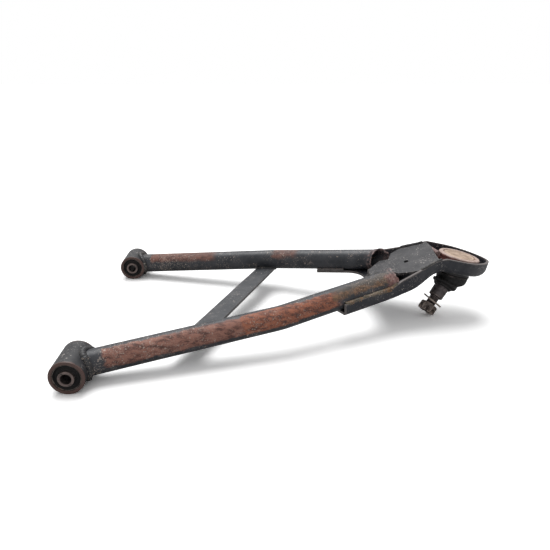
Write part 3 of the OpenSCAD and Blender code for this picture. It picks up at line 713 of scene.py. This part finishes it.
# ---------------------------------------------------------------------------
# Cross brace: a length of 25 x 3 mm flat bar set slantwise between the tubes,
# its ends notched to fit them and welded. Satin paint, rubbed on its edges.
# ---------------------------------------------------------------------------
def from_cad(name, node, material, body, slot_name, round_mm=0.5, **lay):
    """a CAD piece taken as a clean mesh, with its edges rounded over"""
    mesh = frame["nodes"][node].data.copy()
    mesh.materials.clear()
    with edited(mesh) as form:
        bmesh.ops.remove_doubles(form, verts=form.verts, dist=0.005 * mm)
        bmesh.ops.dissolve_limit(form, angle_limit=math.radians(0.5), verts=form.verts, edges=form.edges)
    for attribute in [a for a in mesh.attributes if not a.is_required and not a.name.startswith(".")]:
        mesh.attributes.remove(attribute)
    rounded = bpy.data.objects.new(name, mesh)
    scene.collection.objects.link(rounded)
    done = modified(rounded, [("BEVEL", {"width": round_mm * mm, "segments": 2, "limit_method": "ANGLE",
                                         "angle_limit": math.radians(30)})])
    done.materials.clear()
    done.materials.append(material)
    # a line of points a little way in from each edge, so that wear stays near the edges
    with edited(done) as form:
        broad = [f for f in form.faces if f.calc_area() > 60 * mm * mm and
                 f.calc_area() / f.calc_perimeter() > 1.2 * mm]
        bmesh.ops.inset_individual(form, faces=broad, thickness=1.1 * mm, use_even_offset=True)
    return lay_piece(name, done, body, slot_name, [node], **lay)


brace_finish = painted_finish("brace_paint", (0.045, 0.049, 0.056, 1), (0.12, 0.12, 0.125, 1), 0.6,
                              0.16, 0.6, (0.17, 0.15, 0.14, 1))
from_cad("slant_brace", "cross_brace", brace_finish, "arm", "black_paint", 0.7)

# ---------------------------------------------------------------------------
# Ball joint pan: a Y-shaped pressing of 3 mm sheet. Its two legs cradle the
# tubes, a wall runs round its outside, and its end folds down round the joint.
# The sheet turns from wall to floor in a wide soft bend. Satin black paint.
# ---------------------------------------------------------------------------
def tilt_down(angle):
    return Matrix.Rotation(-angle, 4, "Y")


outer_slope = math.atan(math.tan(outer_rise) / math.cos(outer_angle))
bend_height = pivots["front"].z + bend_x / math.cos(inner_angle) * math.tan(inner_rise)
outer_plane = Matrix.Translation((pivots["front"].x + bend_x, 0, bend_height)) @ tilt_down(outer_slope)
fold = math.radians(19.5)
crest = np.array((196.0, 15.4))
platform = Matrix.Translation((crest[0], 0, crest[1])) @ Matrix.Rotation(fold, 4, "Y")
leg_slant = math.atan(math.tan(outer_angle) * math.cos(outer_slope))
bend_side = (-pivots["front"].y - bend_x * math.tan(inner_angle)) / mm
pan_sheet = 3.0
pan_half = 37.8
wall_out = 15.85
pan_depth = 17.2
tip_len = 65.4
tip_drop = 1.5
tip_start = 23.5
tip_power = 1.7
leg_end = 147
crotch_x = 110.5
lip_in = 8
leg_start = {"front": 69.0, "rear": 65.0}


def beside_leg(along_leg, out):
    return np.array((along_leg * math.cos(leg_slant) + out * math.sin(leg_slant),
                     bend_side - along_leg * math.sin(leg_slant) + out * math.cos(leg_slant)))


def smooth_run(a, b, c, d, count):
    t = np.linspace(0, 1, count)[:, None]
    a, b, c, d = (np.array(p, float) for p in (a, b, c, d))
    return a * (1 - t) ** 3 + 3 * b * t * (1 - t) ** 2 + 3 * c * t ** 2 * (1 - t) + d * t ** 3


def evenly(points, gap):
    """points along a broken line at an even spacing"""
    points = np.array(points, float)
    steps = np.linalg.norm(np.diff(points, axis=0), axis=1)
    reach = np.concatenate([[0], np.cumsum(steps)])
    wanted = np.linspace(0, reach[-1], max(2, int(round(reach[-1] / gap)) + 1))
    return np.stack([np.interp(wanted, reach, points[:, k]) for k in range(points.shape[1])], 1)


floor_line = np.array([(0, -15.85), (138, -15.85), (157, -12.2), (174, -5.4), (186, -1.6), (190.26, -0.9),
                       (192, -1.45), (270, -29.1)])
rim_lines = {"front": np.array([(0, -2.6), (127, -2.6), (140, 2.6), (154, 7.3), (184, 14.4), (196, 15.4)]),
             "rear": np.array([(0, -2.6), (118, -2.6), (128, 7.6), (150, 8.2), (164, 9.9), (175, 13.0),
                               (185, 14.9), (196, 15.4)])}


def pan_floor(x):
    """height of the pan's underside, eased round its folds"""
    return sum(np.interp(x + d, floor_line[:, 0], floor_line[:, 1]) for d in (-3, -1.5, 0, 1.5, 3)) / 5


def pan_rim(side, x):
    line = rim_lines[side]
    return sum(np.interp(x + d, line[:, 0], line[:, 1]) for d in (-3, -1.5, 0, 1.5, 3)) / 5


edge_tip = (platform @ Vector((tip_len - 9, 0, -pan_depth))).x


def half_pan(side):
    """one half of the pan's outer skin: rows of points from the rim round the bend to the middle"""
    start = leg_start[side]
    leg = evenly(np.vstack([[beside_leg(start, wall_out)],
                            smooth_run(beside_leg(leg_end, wall_out), (160, 49.5), (174, pan_half + 3),
                                       (186, pan_half), 16), [(crest[0], pan_half)]]), 2.2)
    t = np.radians(np.linspace(0, 90, 160))[1:]
    tip = np.stack([tip_start + (tip_len - tip_start) * np.sin(t) ** (2 / tip_power),
                    pan_half * np.cos(t) ** (2 / tip_power)], 1)
    tip = evenly(np.vstack([[(0, pan_half)], [(tip_start, pan_half)], tip]), 2.2)
    stations = [(p, False) for p in leg] + [(p, True) for p in tip[1:]]
    inner = evenly(np.vstack([[beside_leg(start, -lip_in)],
                              smooth_run(beside_leg(108, -lip_in), (107, 37), (crotch_x, 29),
                                         (crotch_x, 12), 12), [(crotch_x, 0)]]), 2.2)
    rows = []
    count = len(stations)
    leg_rows = int(count * 0.44)
    for k, (outside, on_platform) in enumerate(stations):
        before, after = stations[max(k - 1, 0)][0], stations[min(k + 1, count - 1)][0]
        if on_platform != stations[max(k - 1, 0)][1]:
            before = outside - np.array((1, 0))
        if on_platform != stations[min(k + 1, count - 1)][1]:
            after = outside + np.array((1, 0))
        way = (after - before) / np.linalg.norm(after - before)
        inward = np.array((way[1], -way[0]))
        if k == count - 1:
            inward = np.array((-1.0, 0.0))
        grown = min(1.0, max(0.0, (outside[0] - 120) / 60)) if not on_platform else 1.0
        soft = 5.0 + 4.0 * grown

        def placed_point(inset, down):
            if on_platform:
                spot = outside + inward * inset
                dropped = pan_depth + tip_drop * min(1.0, max(0.0, (outside[0] - 28) / 22))
                return platform @ Vector((spot[0], spot[1], -down * dropped))
            lean = max(0.0, (outside[0] - 168) / (crest[0] - 168)) * 5.74
            spot = outside + inward * inset
            x = spot[0] - lean * down
            top, low = pan_rim(side, outside[0]), pan_floor(outside[0] - lean)
            return Vector((x, spot[1], top + (low - top) * down))

        depth = pan_depth if on_platform else pan_rim(side, outside[0]) - pan_floor(outside[0])
        soft = min(soft, depth * 0.8)
        column = [placed_point(0, d) for d in np.linspace(0, 1 - soft / depth, 5)]
        for a in np.linspace(0, math.pi / 2, 8)[1:]:
            column.append(placed_point(soft * (1 - math.cos(a)), 1 - (soft - soft * math.sin(a)) / depth))
        edge = column[-1]
        if k < leg_rows:
            share = k / (leg_rows - 1) * (len(inner) - 1)
            low = int(min(share, len(inner) - 2))
            target = inner[low] + (inner[low + 1] - inner[low]) * (share - low)
        else:
            share = (k - leg_rows + 1) / (count - leg_rows)
            target = np.array((crotch_x + (edge_tip - crotch_x) * share, 0))
        for t in np.linspace(0, 1, 14)[1:]:
            spot = Vector((edge.x + (target[0] - edge.x) * t, edge.y + (target[1] - edge.y) * t, 0))
            level = pan_floor(spot.x)
            settle = min(1.0, t * 6)
            spot.z = edge.z + (level - edge.z) * settle if t < 1 / 6 else level
            column.append(spot)
        rows.append(column)
    return rows


pan_verts, pan_faces = [], []
for side, sign in (("front", -1), ("rear", 1)):
    rows = half_pan(side)
    base, wide = len(pan_verts), len(rows[0])
    for row in rows:
        pan_verts += [outer_plane @ Vector((p.x * mm, p.y * sign * mm, p.z * mm)) for p in row]
    for i in range(len(rows) - 1):
        for j in range(wide - 1):
            a = base + i * wide + j
            quad = (a, a + 1, a + wide + 1, a + wide)
            pan_faces.append(quad if sign > 0 else quad[::-1])
pan_finish = painted_finish("pan_paint", (0.019, 0.021, 0.029, 1), (0.085, 0.085, 0.092, 1), 0.5, 0.22, 0.5,
                            (0.15, 0.13, 0.125, 1), rust=0.08)
skin_mesh = bpy.data.meshes.new("pan_skin")
skin_mesh.from_pydata(pan_verts, [], pan_faces)
skin_mesh.materials.append(pan_finish)
with edited(skin_mesh) as form:
    bmesh.ops.remove_doubles(form, verts=form.verts, dist=0.05 * mm)
    bmesh.ops.dissolve_degenerate(form, edges=form.edges, dist=0.01 * mm)
    bmesh.ops.recalc_face_normals(form, faces=form.faces)
    lowest_face = min(form.faces, key=lambda f: f.calc_center_median().z)
    if lowest_face.normal.z > 0:
        bmesh.ops.reverse_faces(form, faces=form.faces)
joint_mount = platform @ Matrix.Translation((29.4, 0, -0.7))
joint_place = outer_plane @ Matrix.Translation(Vector(joint_mount.translation) * mm) @ \
    joint_mount.to_3x3().to_4x4()
# the round hole that the joint is pressed into
joint_axis = (joint_place.to_3x3() @ Vector((0, 0, 1))).normalized()
punch_r = 18.5 * mm


def off_axis(point):
    away = point - joint_place.translation
    return away - joint_axis * away.dot(joint_axis)


with edited(skin_mesh) as form:
    inside = [f for f in form.faces if off_axis(f.calc_center_median()).length < punch_r - 0.5 * mm]
    bmesh.ops.delete(form, geom=inside, context="FACES")
    for vert in form.verts:
        away = off_axis(vert.co)
        if vert.is_boundary and away.length < punch_r + 3 * mm:
            vert.co += away.normalized() * (punch_r - away.length)
skin = bpy.data.objects.new("pan_skin", skin_mesh)
scene.collection.objects.link(skin)
pan_mesh = modified(skin, [
    ("SOLIDIFY", {"thickness": pan_sheet * mm, "offset": -1.0, "use_even_offset": True}),
    ("BEVEL", {"width": 0.5 * mm, "segments": 2, "limit_method": "ANGLE",
               "angle_limit": math.radians(55)})])
pan_mesh.materials.clear()
pan_mesh.materials.append(pan_finish)
lay_piece("pressed_pan", pan_mesh, "arm", "black_paint", ["ball_joint_pan"], smooth_angle=40)

# ---------------------------------------------------------------------------
# Gusset plate: kite-shaped 3 mm plate between the tubes and the pan's wall,
# its inboard tip bent down to the pan's floor. One small slot. Satin paint.
# ---------------------------------------------------------------------------
gusset_finish = painted_finish("gusset_paint", (0.026, 0.026, 0.030, 1), (0.085, 0.083, 0.088, 1), 0.7,
                               0.22, 0.45, (0.16, 0.145, 0.14, 1), rust=0.03, scratch=0.6)
gusset = from_cad("kite_gusset", "gusset_plate", gusset_finish, "arm", "black_paint", 0.5)
# round the slot the edge wear is turned off, so its edges keep the dark paint as painted shade in the slot
slot_place = outer_plane @ (Vector((157.3, -4.7, 8.0)) * mm)
slot_shade_reach = 6 * mm
for vert, worn in zip(gusset.data.vertices, gusset.data.attributes["edge"].data):
    if (vert.co - slot_place).length < slot_shade_reach:
        worn.value = 0.0

# ---------------------------------------------------------------------------
# Welds: beads of filler laid along the joints between tube, barrel, brace,
# pan and gusset. Each has the ripples of its passes. Most are under the paint;
# the long beads on the pan's legs are bare and have rusted to tan and brown.
# ---------------------------------------------------------------------------
weld_bead, bead_in, bead_out = geometry_tree(
    "weld_bead", [("Radius", "Float"), ("Ripple Pitch", "Float"), ("Ripple Height", "Float"),
                  ("Lump Size", "Float"), ("Lump Height", "Float"), ("Seed", "Float"),
                  ("Material", "Material")])
bead_path = add(weld_bead, "GeometryNodeResampleCurve", {"mode": "LENGTH"},
                {"Curve": bead_in["Geometry"],
                 "Length": value_field(weld_bead, bead_in["Ripple Pitch"], "DIVIDE", 6.0)}).outputs[0]
bead_along = add(weld_bead, "GeometryNodeSplineParameter").outputs["Length"]
bead_path = keep_field(weld_bead, bead_path, "along", bead_along)
bead_ring = add(weld_bead, "GeometryNodeCurvePrimitiveCircle", {"mode": "RADIUS"},
                {"Resolution": 14, "Radius": bead_in["Radius"]}).outputs[0]
bead_skin = add(weld_bead, "GeometryNodeCurveToMesh",
                feed={"Curve": bead_path, "Profile Curve": bead_ring, "Fill Caps": True}).outputs[0]
told = add(weld_bead, "GeometryNodeInputNamedAttribute", {"data_type": "FLOAT"},
           {"Name": "along"}).outputs[0]
ripple = value_field(weld_bead, value_field(weld_bead, told, "DIVIDE", bead_in["Ripple Pitch"]), "FRACT")
ripple = value_field(weld_bead, ripple, "SUBTRACT", 0.5)
lumps = add(weld_bead, "ShaderNodeTexNoise", {"noise_dimensions": "4D"},
            {"W": bead_in["Seed"], "Scale": value_field(weld_bead, 1.0, "DIVIDE", bead_in["Lump Size"]),
             "Detail": 2.0}).outputs[0]
lumps = times(weld_bead, value_field(weld_bead, lumps, "SUBTRACT", 0.5), bead_in["Lump Height"])
swell = plus(weld_bead, times(weld_bead, ripple, bead_in["Ripple Height"]), lumps)
push = add(weld_bead, "ShaderNodeVectorMath", {"operation": "SCALE"},
           {0: add(weld_bead, "GeometryNodeInputNormal").outputs[0], "Scale": swell}).outputs[0]
bead_skin = add(weld_bead, "GeometryNodeSetPosition",
                feed={"Geometry": bead_skin, "Offset": push}).outputs[0]
finish_tree(weld_bead, bead_skin, bead_in["Material"], bead_out)

weld_paint = painted_finish("weld_paint", (0.020, 0.021, 0.025, 1), (0.10, 0.095, 0.092, 1), 0.6, 0.5, 0.12,
                            (0.20, 0.16, 0.14, 1), rust=0.15, chip_tone=(0.52, 0.44, 0.37, 1), scratch=1.0)
weld_rust = painted_finish("weld_rust", (0.085, 0.072, 0.05, 1), (0.19, 0.145, 0.09, 1), 1.0, 0.45, 0.2,
                           (0.33, 0.22, 0.16, 1), rust=0.8, rust_light=(0.33, 0.18, 0.085, 1),
                           rust_dark=(0.08, 0.05, 0.032, 1), chip_tone=(0.55, 0.42, 0.36, 1))


def weld(name, paths, material, slot_name, nodes=(), closed=False, radius=2.2, pitch=1.7, height=0.5,
         lump=5.0, lump_height=0.9, seed=1.0):
    mesh = grow(curve_object(name, paths, closed), weld_bead,
                {"Radius": radius * mm, "Ripple Pitch": pitch * mm, "Ripple Height": height * mm,
                 "Lump Size": lump * mm, "Lump Height": lump_height * mm, "Seed": seed,
                 "Material": material})
    return lay_piece(name, mesh, "arm", slot_name, nodes, smooth_angle=50)


for side in ("front", "rear"):
    path, first, last = tube_lines[side]
    across = Vector((0, 0, 1)).cross(first).normalized()
    above = first.cross(across)
    joint = []
    for a in np.linspace(0, 2 * math.pi, 60, endpoint=False):
        out = across * math.cos(a) + above * math.sin(a)
        skin_point = path[0] + first * 12 * mm + out * (tube_r + 0.3 * mm)
        joint.append(meet(skin_point, -first, pivots[side], Vector((0, 1, 0)), barrel_r + 0.5 * mm))
    weld(side + "_barrel_weld", [joint], weld_paint, "black_paint",
         ["barrel_welds"] if side == "front" else [], closed=True, radius=3.4, pitch=2.8, height=0.4,
         lump=9.0, lump_height=2.4, seed=1.0 if side == "front" else 4.0)

# the brace's ends: a bead over and one under the bar, where it meets each tube
inner_slope = math.atan(math.tan(inner_rise) / math.cos(inner_angle))
inner_plane = Matrix.Translation((pivots["front"].x, 0, pivots["front"].z)) @ tilt_down(inner_slope)
brace_front_x, brace_rear_x, brace_drop = 95.0, 193.0, -10.0
half_spacing = pivots["rear"].y / mm
brace_ends = [Vector((brace_front_x, brace_front_x * math.tan(inner_angle) - half_spacing, brace_drop)),
              Vector((brace_rear_x, half_spacing - brace_rear_x * math.tan(inner_angle), brace_drop))]
brace_run = (brace_ends[1] - brace_ends[0]).normalized()
brace_side = Vector((-brace_run.y, brace_run.x, 0))
joints = []
for tube, mid, run in (("front", brace_ends[0], -brace_run), ("rear", brace_ends[1], brace_run)):
    path, first, last = tube_lines[tube]
    for lift in (1.7, -1.7):
        joint = []
        for w in np.linspace(-12.5, 12.5, 12):
            here = mid - run * 45 + brace_side * w + Vector((0, 0, lift))
            joint.append(meet(inner_plane @ (here * mm), (inner_plane.to_3x3() @ run).normalized(),
                              path[0], first, tube_r + 0.1 * mm))
        joints.append(joint)
weld("brace_end_welds", joints, weld_paint, "black_paint", ["brace_welds"], radius=1.7, pitch=1.6,
     seed=9.0)

# the legs' long beads, and the short ones round the gusset
def on_outer(points, sign=1):
    """points in the pan's own plane, in millimetres, mirrored to the front side by a sign of -1"""
    return [outer_plane @ Vector((x * mm, y * sign * mm, z * mm)) for x, y, z in points]


leg_joints, inner_joints, plate_joints = [], [], []
for side, sign in (("front", -1), ("rear", 1)):
    spots = [beside_leg(reach, wall_out - 2.8) for reach in np.linspace(leg_start[side] + 2, 140, 24)]
    leg_joints.append(on_outer([(x, y, max(pan_rim("front", x), -2.6) - 0.9) for x, y in spots], sign))
    plate_joints.append(on_outer(((164, 43.4, 9.6), (170, 41.4, 11.0), (177, 38.6, 12.4),
                                  (184, 36.0, 13.8), (190, 35.0, 14.8)), sign))
    if side == "front":
        plate_joints.append(on_outer(((117, 13.5, 0.2), (123, 19.0, 1.6), (129, 23.4, 2.6),
                                      (135, 25.2, 4.0)), sign))
    inner_joints.append(on_outer([(*beside_leg(reach, -9.2), -10.9)
                                  for reach in np.linspace(leg_start[side] + 1.5, 102, 16)], sign))
weld("leg_welds", leg_joints, weld_rust, "rusty_weld", ["pan_welds"], radius=2.8, pitch=2.4, height=0.6,
     lump=7.0, lump_height=2.2, seed=3.0)
weld("inner_leg_welds", inner_joints, pan_finish, "black_paint", radius=2.3, pitch=2.0, height=0.4,
     lump=6.0, lump_height=0.9, seed=12.0)
weld_pink = painted_finish("weld_pink", (0.16, 0.09, 0.085, 1), (0.30, 0.19, 0.17, 1), 1.0, 0.5, 0.2,
                           (0.4, 0.3, 0.28, 1), rust=0.6, rust_light=(0.34, 0.20, 0.17, 1),
                           rust_dark=(0.12, 0.06, 0.055, 1), chip_tone=(0.6, 0.5, 0.46, 1))
weld("gusset_end_weld", [on_outer(((195.6, -7, 12.6), (194.6, 2, 12.3), (193.6, 12, 11.8),
                                   (193.2, 22, 11.4), (193.0, 29, 11.2)))], weld_pink, "rusty_weld",
     radius=3.0, pitch=2.6, height=0.4, lump=7.0, lump_height=1.6, seed=21.0)
weld("gusset_edge_welds", plate_joints, weld_paint, "black_paint", ["gusset_welds"], radius=1.9,
     pitch=1.6, height=0.5, lump=4.0, lump_height=1.2, seed=6.0)

# ---------------------------------------------------------------------------
# Ball joint housing and cap: a turned steel body pressed into the pan. Its top
# lip is rolled over a tan cap that closes it. The side wall has rusted red.
# ---------------------------------------------------------------------------
# pale rolled lip, red-brown side wall, and black below the pan
housing_finish, tree, shader = new_material("housing_steel")
place = own_place(tree)
level = kept(tree, "level")["Fac"]
drift = value_field(tree, cloud(tree, place, 130.0, 5.0, 0.65), "SUBTRACT", 0.5)
level = plus(tree, level, times(tree, drift, 1.6))
red_coat = use(tree, rust_coat, Place=place, Dark=(0.085, 0.030, 0.028, 1), Light=(0.30, 0.115, 0.10, 1),
               Scale=190.0)
pale_coat = use(tree, rust_coat, Place=place, Dark=(0.34, 0.235, 0.20, 1), Light=(0.60, 0.47, 0.41, 1),
                Scale=230.0)
black_coat = use(tree, paint_coat, Place=place, Paint=(0.014, 0.014, 0.017, 1),
                 Dusty=(0.05, 0.045, 0.045, 1), Dust=0.5)
coat = cover(tree, ramp(tree, level, -1.9, -0.7), red_coat, pale_coat)
coat = cover(tree, ramp(tree, level, -13.0, -14.5), coat, black_coat)
finish_coat(tree, shader, coat, 0.4)
cap_finish = steel_finish("cap_steel", (0.60, 0.45, 0.34, 1), (0.36, 0.25, 0.18, 1), 120.0, 0.25,
                          (0.42, 0.66), wear=0.7, rim=(0.74, 0.60, 0.48, 1),
                          rust=0.12, rust_light=(0.36, 0.19, 0.11, 1))
housing = turned(
    "joint_housing",
    [(19.3, 0.0, 0.3), (23.4, 0.0, 1.0), (24.3, -1.1, 0.5), (24.3, -3.3, 0.5), (23.4, -4.4, 0.3),
     (23.4, -13.5), (18.4, -13.5), (18.4, -22.4, 0.3), (16.8, -22.4, 0.2), (16.8, -26.4, 0.3),
     (14.2, -26.4), (13.4, -24.6), (14.9, -24.6), (14.9, -4.6), (21.22, -4.6), (21.22, -1.4), (19.3, -1.4)],
    joint_place, housing_finish, "arm", "joint_steel", ["ball_joint_housing"], radius=0.2, sides=120)
to_joint = joint_place.inverted()
housing.data.attributes.new("level", "FLOAT", "POINT").data.foreach_set(
    "value", np.array([(to_joint @ v.co).z / mm for v in housing.data.vertices], dtype=np.float32))
turned("joint_cap",
       [(0, -4.6), (21.2, -4.6), (21.2, -1.45), (18.1, -1.45, 0.05), (18.0, -0.5, 0.2), (17.5, -0.05, 0.4),
        (15.9, 0.1, 0.3), (15.5, -0.5, 0.3), (15.0, -0.05, 0.3), (0, 0.12)],
       joint_place, cap_finish, "arm", "cap_steel", ["ball_joint_cap"], closed=False, sides=120)

# ---------------------------------------------------------------------------
# Inside the joint: a moulded liner that holds the ball, and a rubber pad that
# keeps it pressed down. Both are closed in by the housing and the boot.
# ---------------------------------------------------------------------------
def plain_cad(node, material):
    holder = frame["nodes"][node]
    holder.data.materials.clear()
    holder.data.materials.append(material)


liner_finish, liner_tree, liner_shader = new_material("liner_plastic", Subsurface_Weight=0.1)
liner_cloud = cloud(liner_tree, own_place(liner_tree), 140.0)
liner_coat = {"Colour": mix_colour(liner_tree, ramp(liner_tree, liner_cloud, 0.35, 0.7),
                                   (0.80, 0.77, 0.68, 1), (0.62, 0.56, 0.45, 1)),
              "Roughness": ramp(liner_tree, liner_cloud, 0.3, 0.7, 0.25, 0.45), "Height": liner_cloud}
finish_coat(liner_tree, liner_shader, liner_coat, 0.1)
plain_cad("ball_seat", liner_finish)
plain_cad("preload_pad", bush_rubber)

# ---------------------------------------------------------------------------
# Dust boot: black rubber bellows in two tiers between the housing's groove and
# the stud, held by a flat steel ring above and a wire ring round its lower lip.
# ---------------------------------------------------------------------------
joints_by_name = {j["name"]: j for j in record["behaviour"]["joints"]}
ball = Vector(joints_by_name["ball_swivel"]["pos_m"])
stud_axis = Vector(joints_by_name["stud_spin"]["axis"]).normalized()
lean = (-joint_axis).angle(stud_axis)
boot_finish = rubber_finish("boot_rubber", (0.012, 0.012, 0.013, 1), (0.055, 0.05, 0.048, 1), 0.5)
# the boot's section, all round: distance from the ball, radius, and share of the stud's lean
boot_rings = [(5.6, 16.9, 0.0), (5.6, 18.1, 0.0), (9.2, 18.3, 0.0), (10.2, 18.2, 0.0),
              (12.5, 18.2, 0.04), (15.0, 17.9, 0.12), (17.0, 16.9, 0.26), (18.3, 15.4, 0.42),
              (19.0, 14.2, 0.58), (19.7, 13.9, 0.7), (20.6, 14.6, 0.82), (22.0, 15.3, 0.92),
              (23.8, 15.2, 0.98), (25.0, 14.2, 1.0), (25.7, 12.4, 1.0), (26.1, 11.3, 1.0),
              (28.2, 11.0, 1.0), (28.6, 10.5, 1.0), (28.6, 9.6, 1.0), (27.6, 9.35, 1.0),
              (24.4, 9.4, 1.0), (23.8, 11.0, 1.0), (23.0, 13.6, 0.98), (21.8, 13.7, 0.92),
              (20.6, 13.1, 0.82), (19.6, 12.4, 0.7), (18.6, 12.8, 0.56), (17.5, 14.2, 0.42),
              (16.2, 16.0, 0.26), (14.6, 17.2, 0.12), (12.4, 17.4, 0.04), (10.4, 17.0, 0.0),
              (9.2, 16.9, 0.0)]
boot_sides = 96


def boot_row(h, r, share):
    """a ring of points at a distance from the ball, turned part of the way towards the stud"""
    turn = Matrix.Rotation(lean * share, 3, (-joint_axis).cross(stud_axis))
    down = turn @ -joint_axis
    x = (Vector((0, 0, 1)) - down * down.z).normalized()
    y = down.cross(x)
    centre = ball + down * h * mm
    return [centre + (x * math.cos(a) + y * math.sin(a)) * r * mm
            for a in (2 * math.pi * k / boot_sides for k in range(boot_sides))]


boot_outline = []
for (h, r, w), (h2, r2, w2) in zip(boot_rings, boot_rings[1:] + boot_rings[:1]):
    boot_outline += [(h, r, w), ((h + h2) / 2, (r + r2) / 2, (w + w2) / 2)]
boot_verts, boot_faces = [], []
for h, r, w in boot_outline:
    boot_verts += boot_row(h, r, w)
for i in range(len(boot_outline)):
    a, b = i * boot_sides, ((i + 1) % len(boot_outline)) * boot_sides
    for k in range(boot_sides):
        n = (k + 1) % boot_sides
        boot_faces.append((a + k, a + n, b + n, b + k))
boot_mesh = bpy.data.meshes.new("bellows_boot")
boot_mesh.from_pydata(boot_verts, [], boot_faces)
boot_mesh.materials.append(boot_finish)
boot = lay_piece("bellows_boot", boot_mesh, None, "rubber", ["dust_boot"], smooth_angle=60)
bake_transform(boot, "seat", "boot_collar", start=ball - joint_axis * 10 * mm, end=ball + stud_axis * 24 * mm)

ring_finish = steel_finish("ring_steel", (0.055, 0.05, 0.05, 1), (0.02, 0.018, 0.018, 1), rust=0.3,
                           rim=(0.12, 0.10, 0.095, 1))
turned("boot_top_ring", [(18.3, 0.0), (19.0, 0.0), (19.0, 1.8), (18.3, 1.8)],
       frame_at(ball - joint_axis * 8.0 * mm, joint_axis), ring_finish, "arm", "bare_steel",
       ["boot_upper_ring"])
turned("boot_wire_ring", [(11.1, 0.0, 0.3), (11.8, 0.0, 0.3), (11.8, 1.4, 0.3), (11.1, 1.4, 0.3)],
       frame_at(ball + stud_axis * 25.7 * mm, stud_axis), ring_finish, "boot_collar", "bare_steel",
       ["boot_lower_ring"])

# ---------------------------------------------------------------------------
# Ball stud: forged and turned steel with its ball, a neck, the taper that the
# knuckle's eye sits on, and an M12 x 1.25 thread. Oxidised dark brown.
# ---------------------------------------------------------------------------
thread_pitch = 1.25
thread_top, thread_end = 43.4, 63.0
thread_depth = 0.72
ball_r = 11.0


def threaded(r, z, a):
    """cuts the thread's groove into the rows that lie along it"""
    if z < thread_top or z > thread_end or r < 5.5:
        return r, z
    fade = min(1.0, (z - thread_top) / 1.0, (thread_end - z) / 1.0)
    turn = (z / thread_pitch - a / (2 * math.pi)) % 1.0
    return r - thread_depth * fade * abs(2 * turn - 1), z


stud_finish = steel_finish("stud_steel", (0.15, 0.13, 0.13, 1), (0.065, 0.055, 0.056, 1), 240.0, 0.5,
                           (0.4, 0.6), wear=0.6, rim=(0.30, 0.25, 0.23, 1),
                           rust=0.3, rust_light=(0.17, 0.095, 0.07, 1))
ball_curve = [(ball_r * math.sin(a), -ball_r * math.cos(a), 0)
              for a in np.linspace(0, math.radians(147), 24)]
stud_outline = [(0, -ball_r)] + ball_curve[1:] + \
    [(6.0, 16.0, 1.5), (9.2, 23.0, 0.6), (8.62, 42.2, 0.5), (5.9, 42.7, 0.2), (5.9, 43.4, 0)] + \
    [(5.95, z, 0) for z in np.arange(43.5, 62.9, 0.14)] + [(5.9, 63.0, 0), (5.2, 63.6, 0.2), (0, 63.6)]
turned("forged_stud", stud_outline, frame_at(ball, stud_axis), stud_finish, "stud", "joint_steel",
       ["ball_stud"], closed=False, sides=64, shape=threaded, smooth_angle=40)

# ---------------------------------------------------------------------------
# Washer and castle nut: a plain 25 mm washer loose on the thread, and a nut with
# six slots, 18 mm across its flats. Both are dull brown with bright corners.
# ---------------------------------------------------------------------------
washer_finish = steel_finish("washer_steel", (0.26, 0.215, 0.19, 1), (0.10, 0.075, 0.066, 1), 320.0, 0.5,
                             wear=0.7, rim=(0.42, 0.35, 0.31, 1), rust=0.35)
nut_finish = steel_finish("nut_steel", (0.22, 0.18, 0.16, 1), (0.075, 0.058, 0.052, 1), 330.0, 0.35,
                          (0.42, 0.66), wear=1.0, rim=(0.42, 0.34, 0.30, 1),
                          rust=0.45, rust_light=(0.22, 0.12, 0.085, 1))
from_cad("loose_washer", "stud_washer", washer_finish, "washer", "bare_steel", 0.25, smooth_angle=50)
from_cad("castle_nut_body", "castle_nut", nut_finish, "nut", "joint_steel", 0.35)
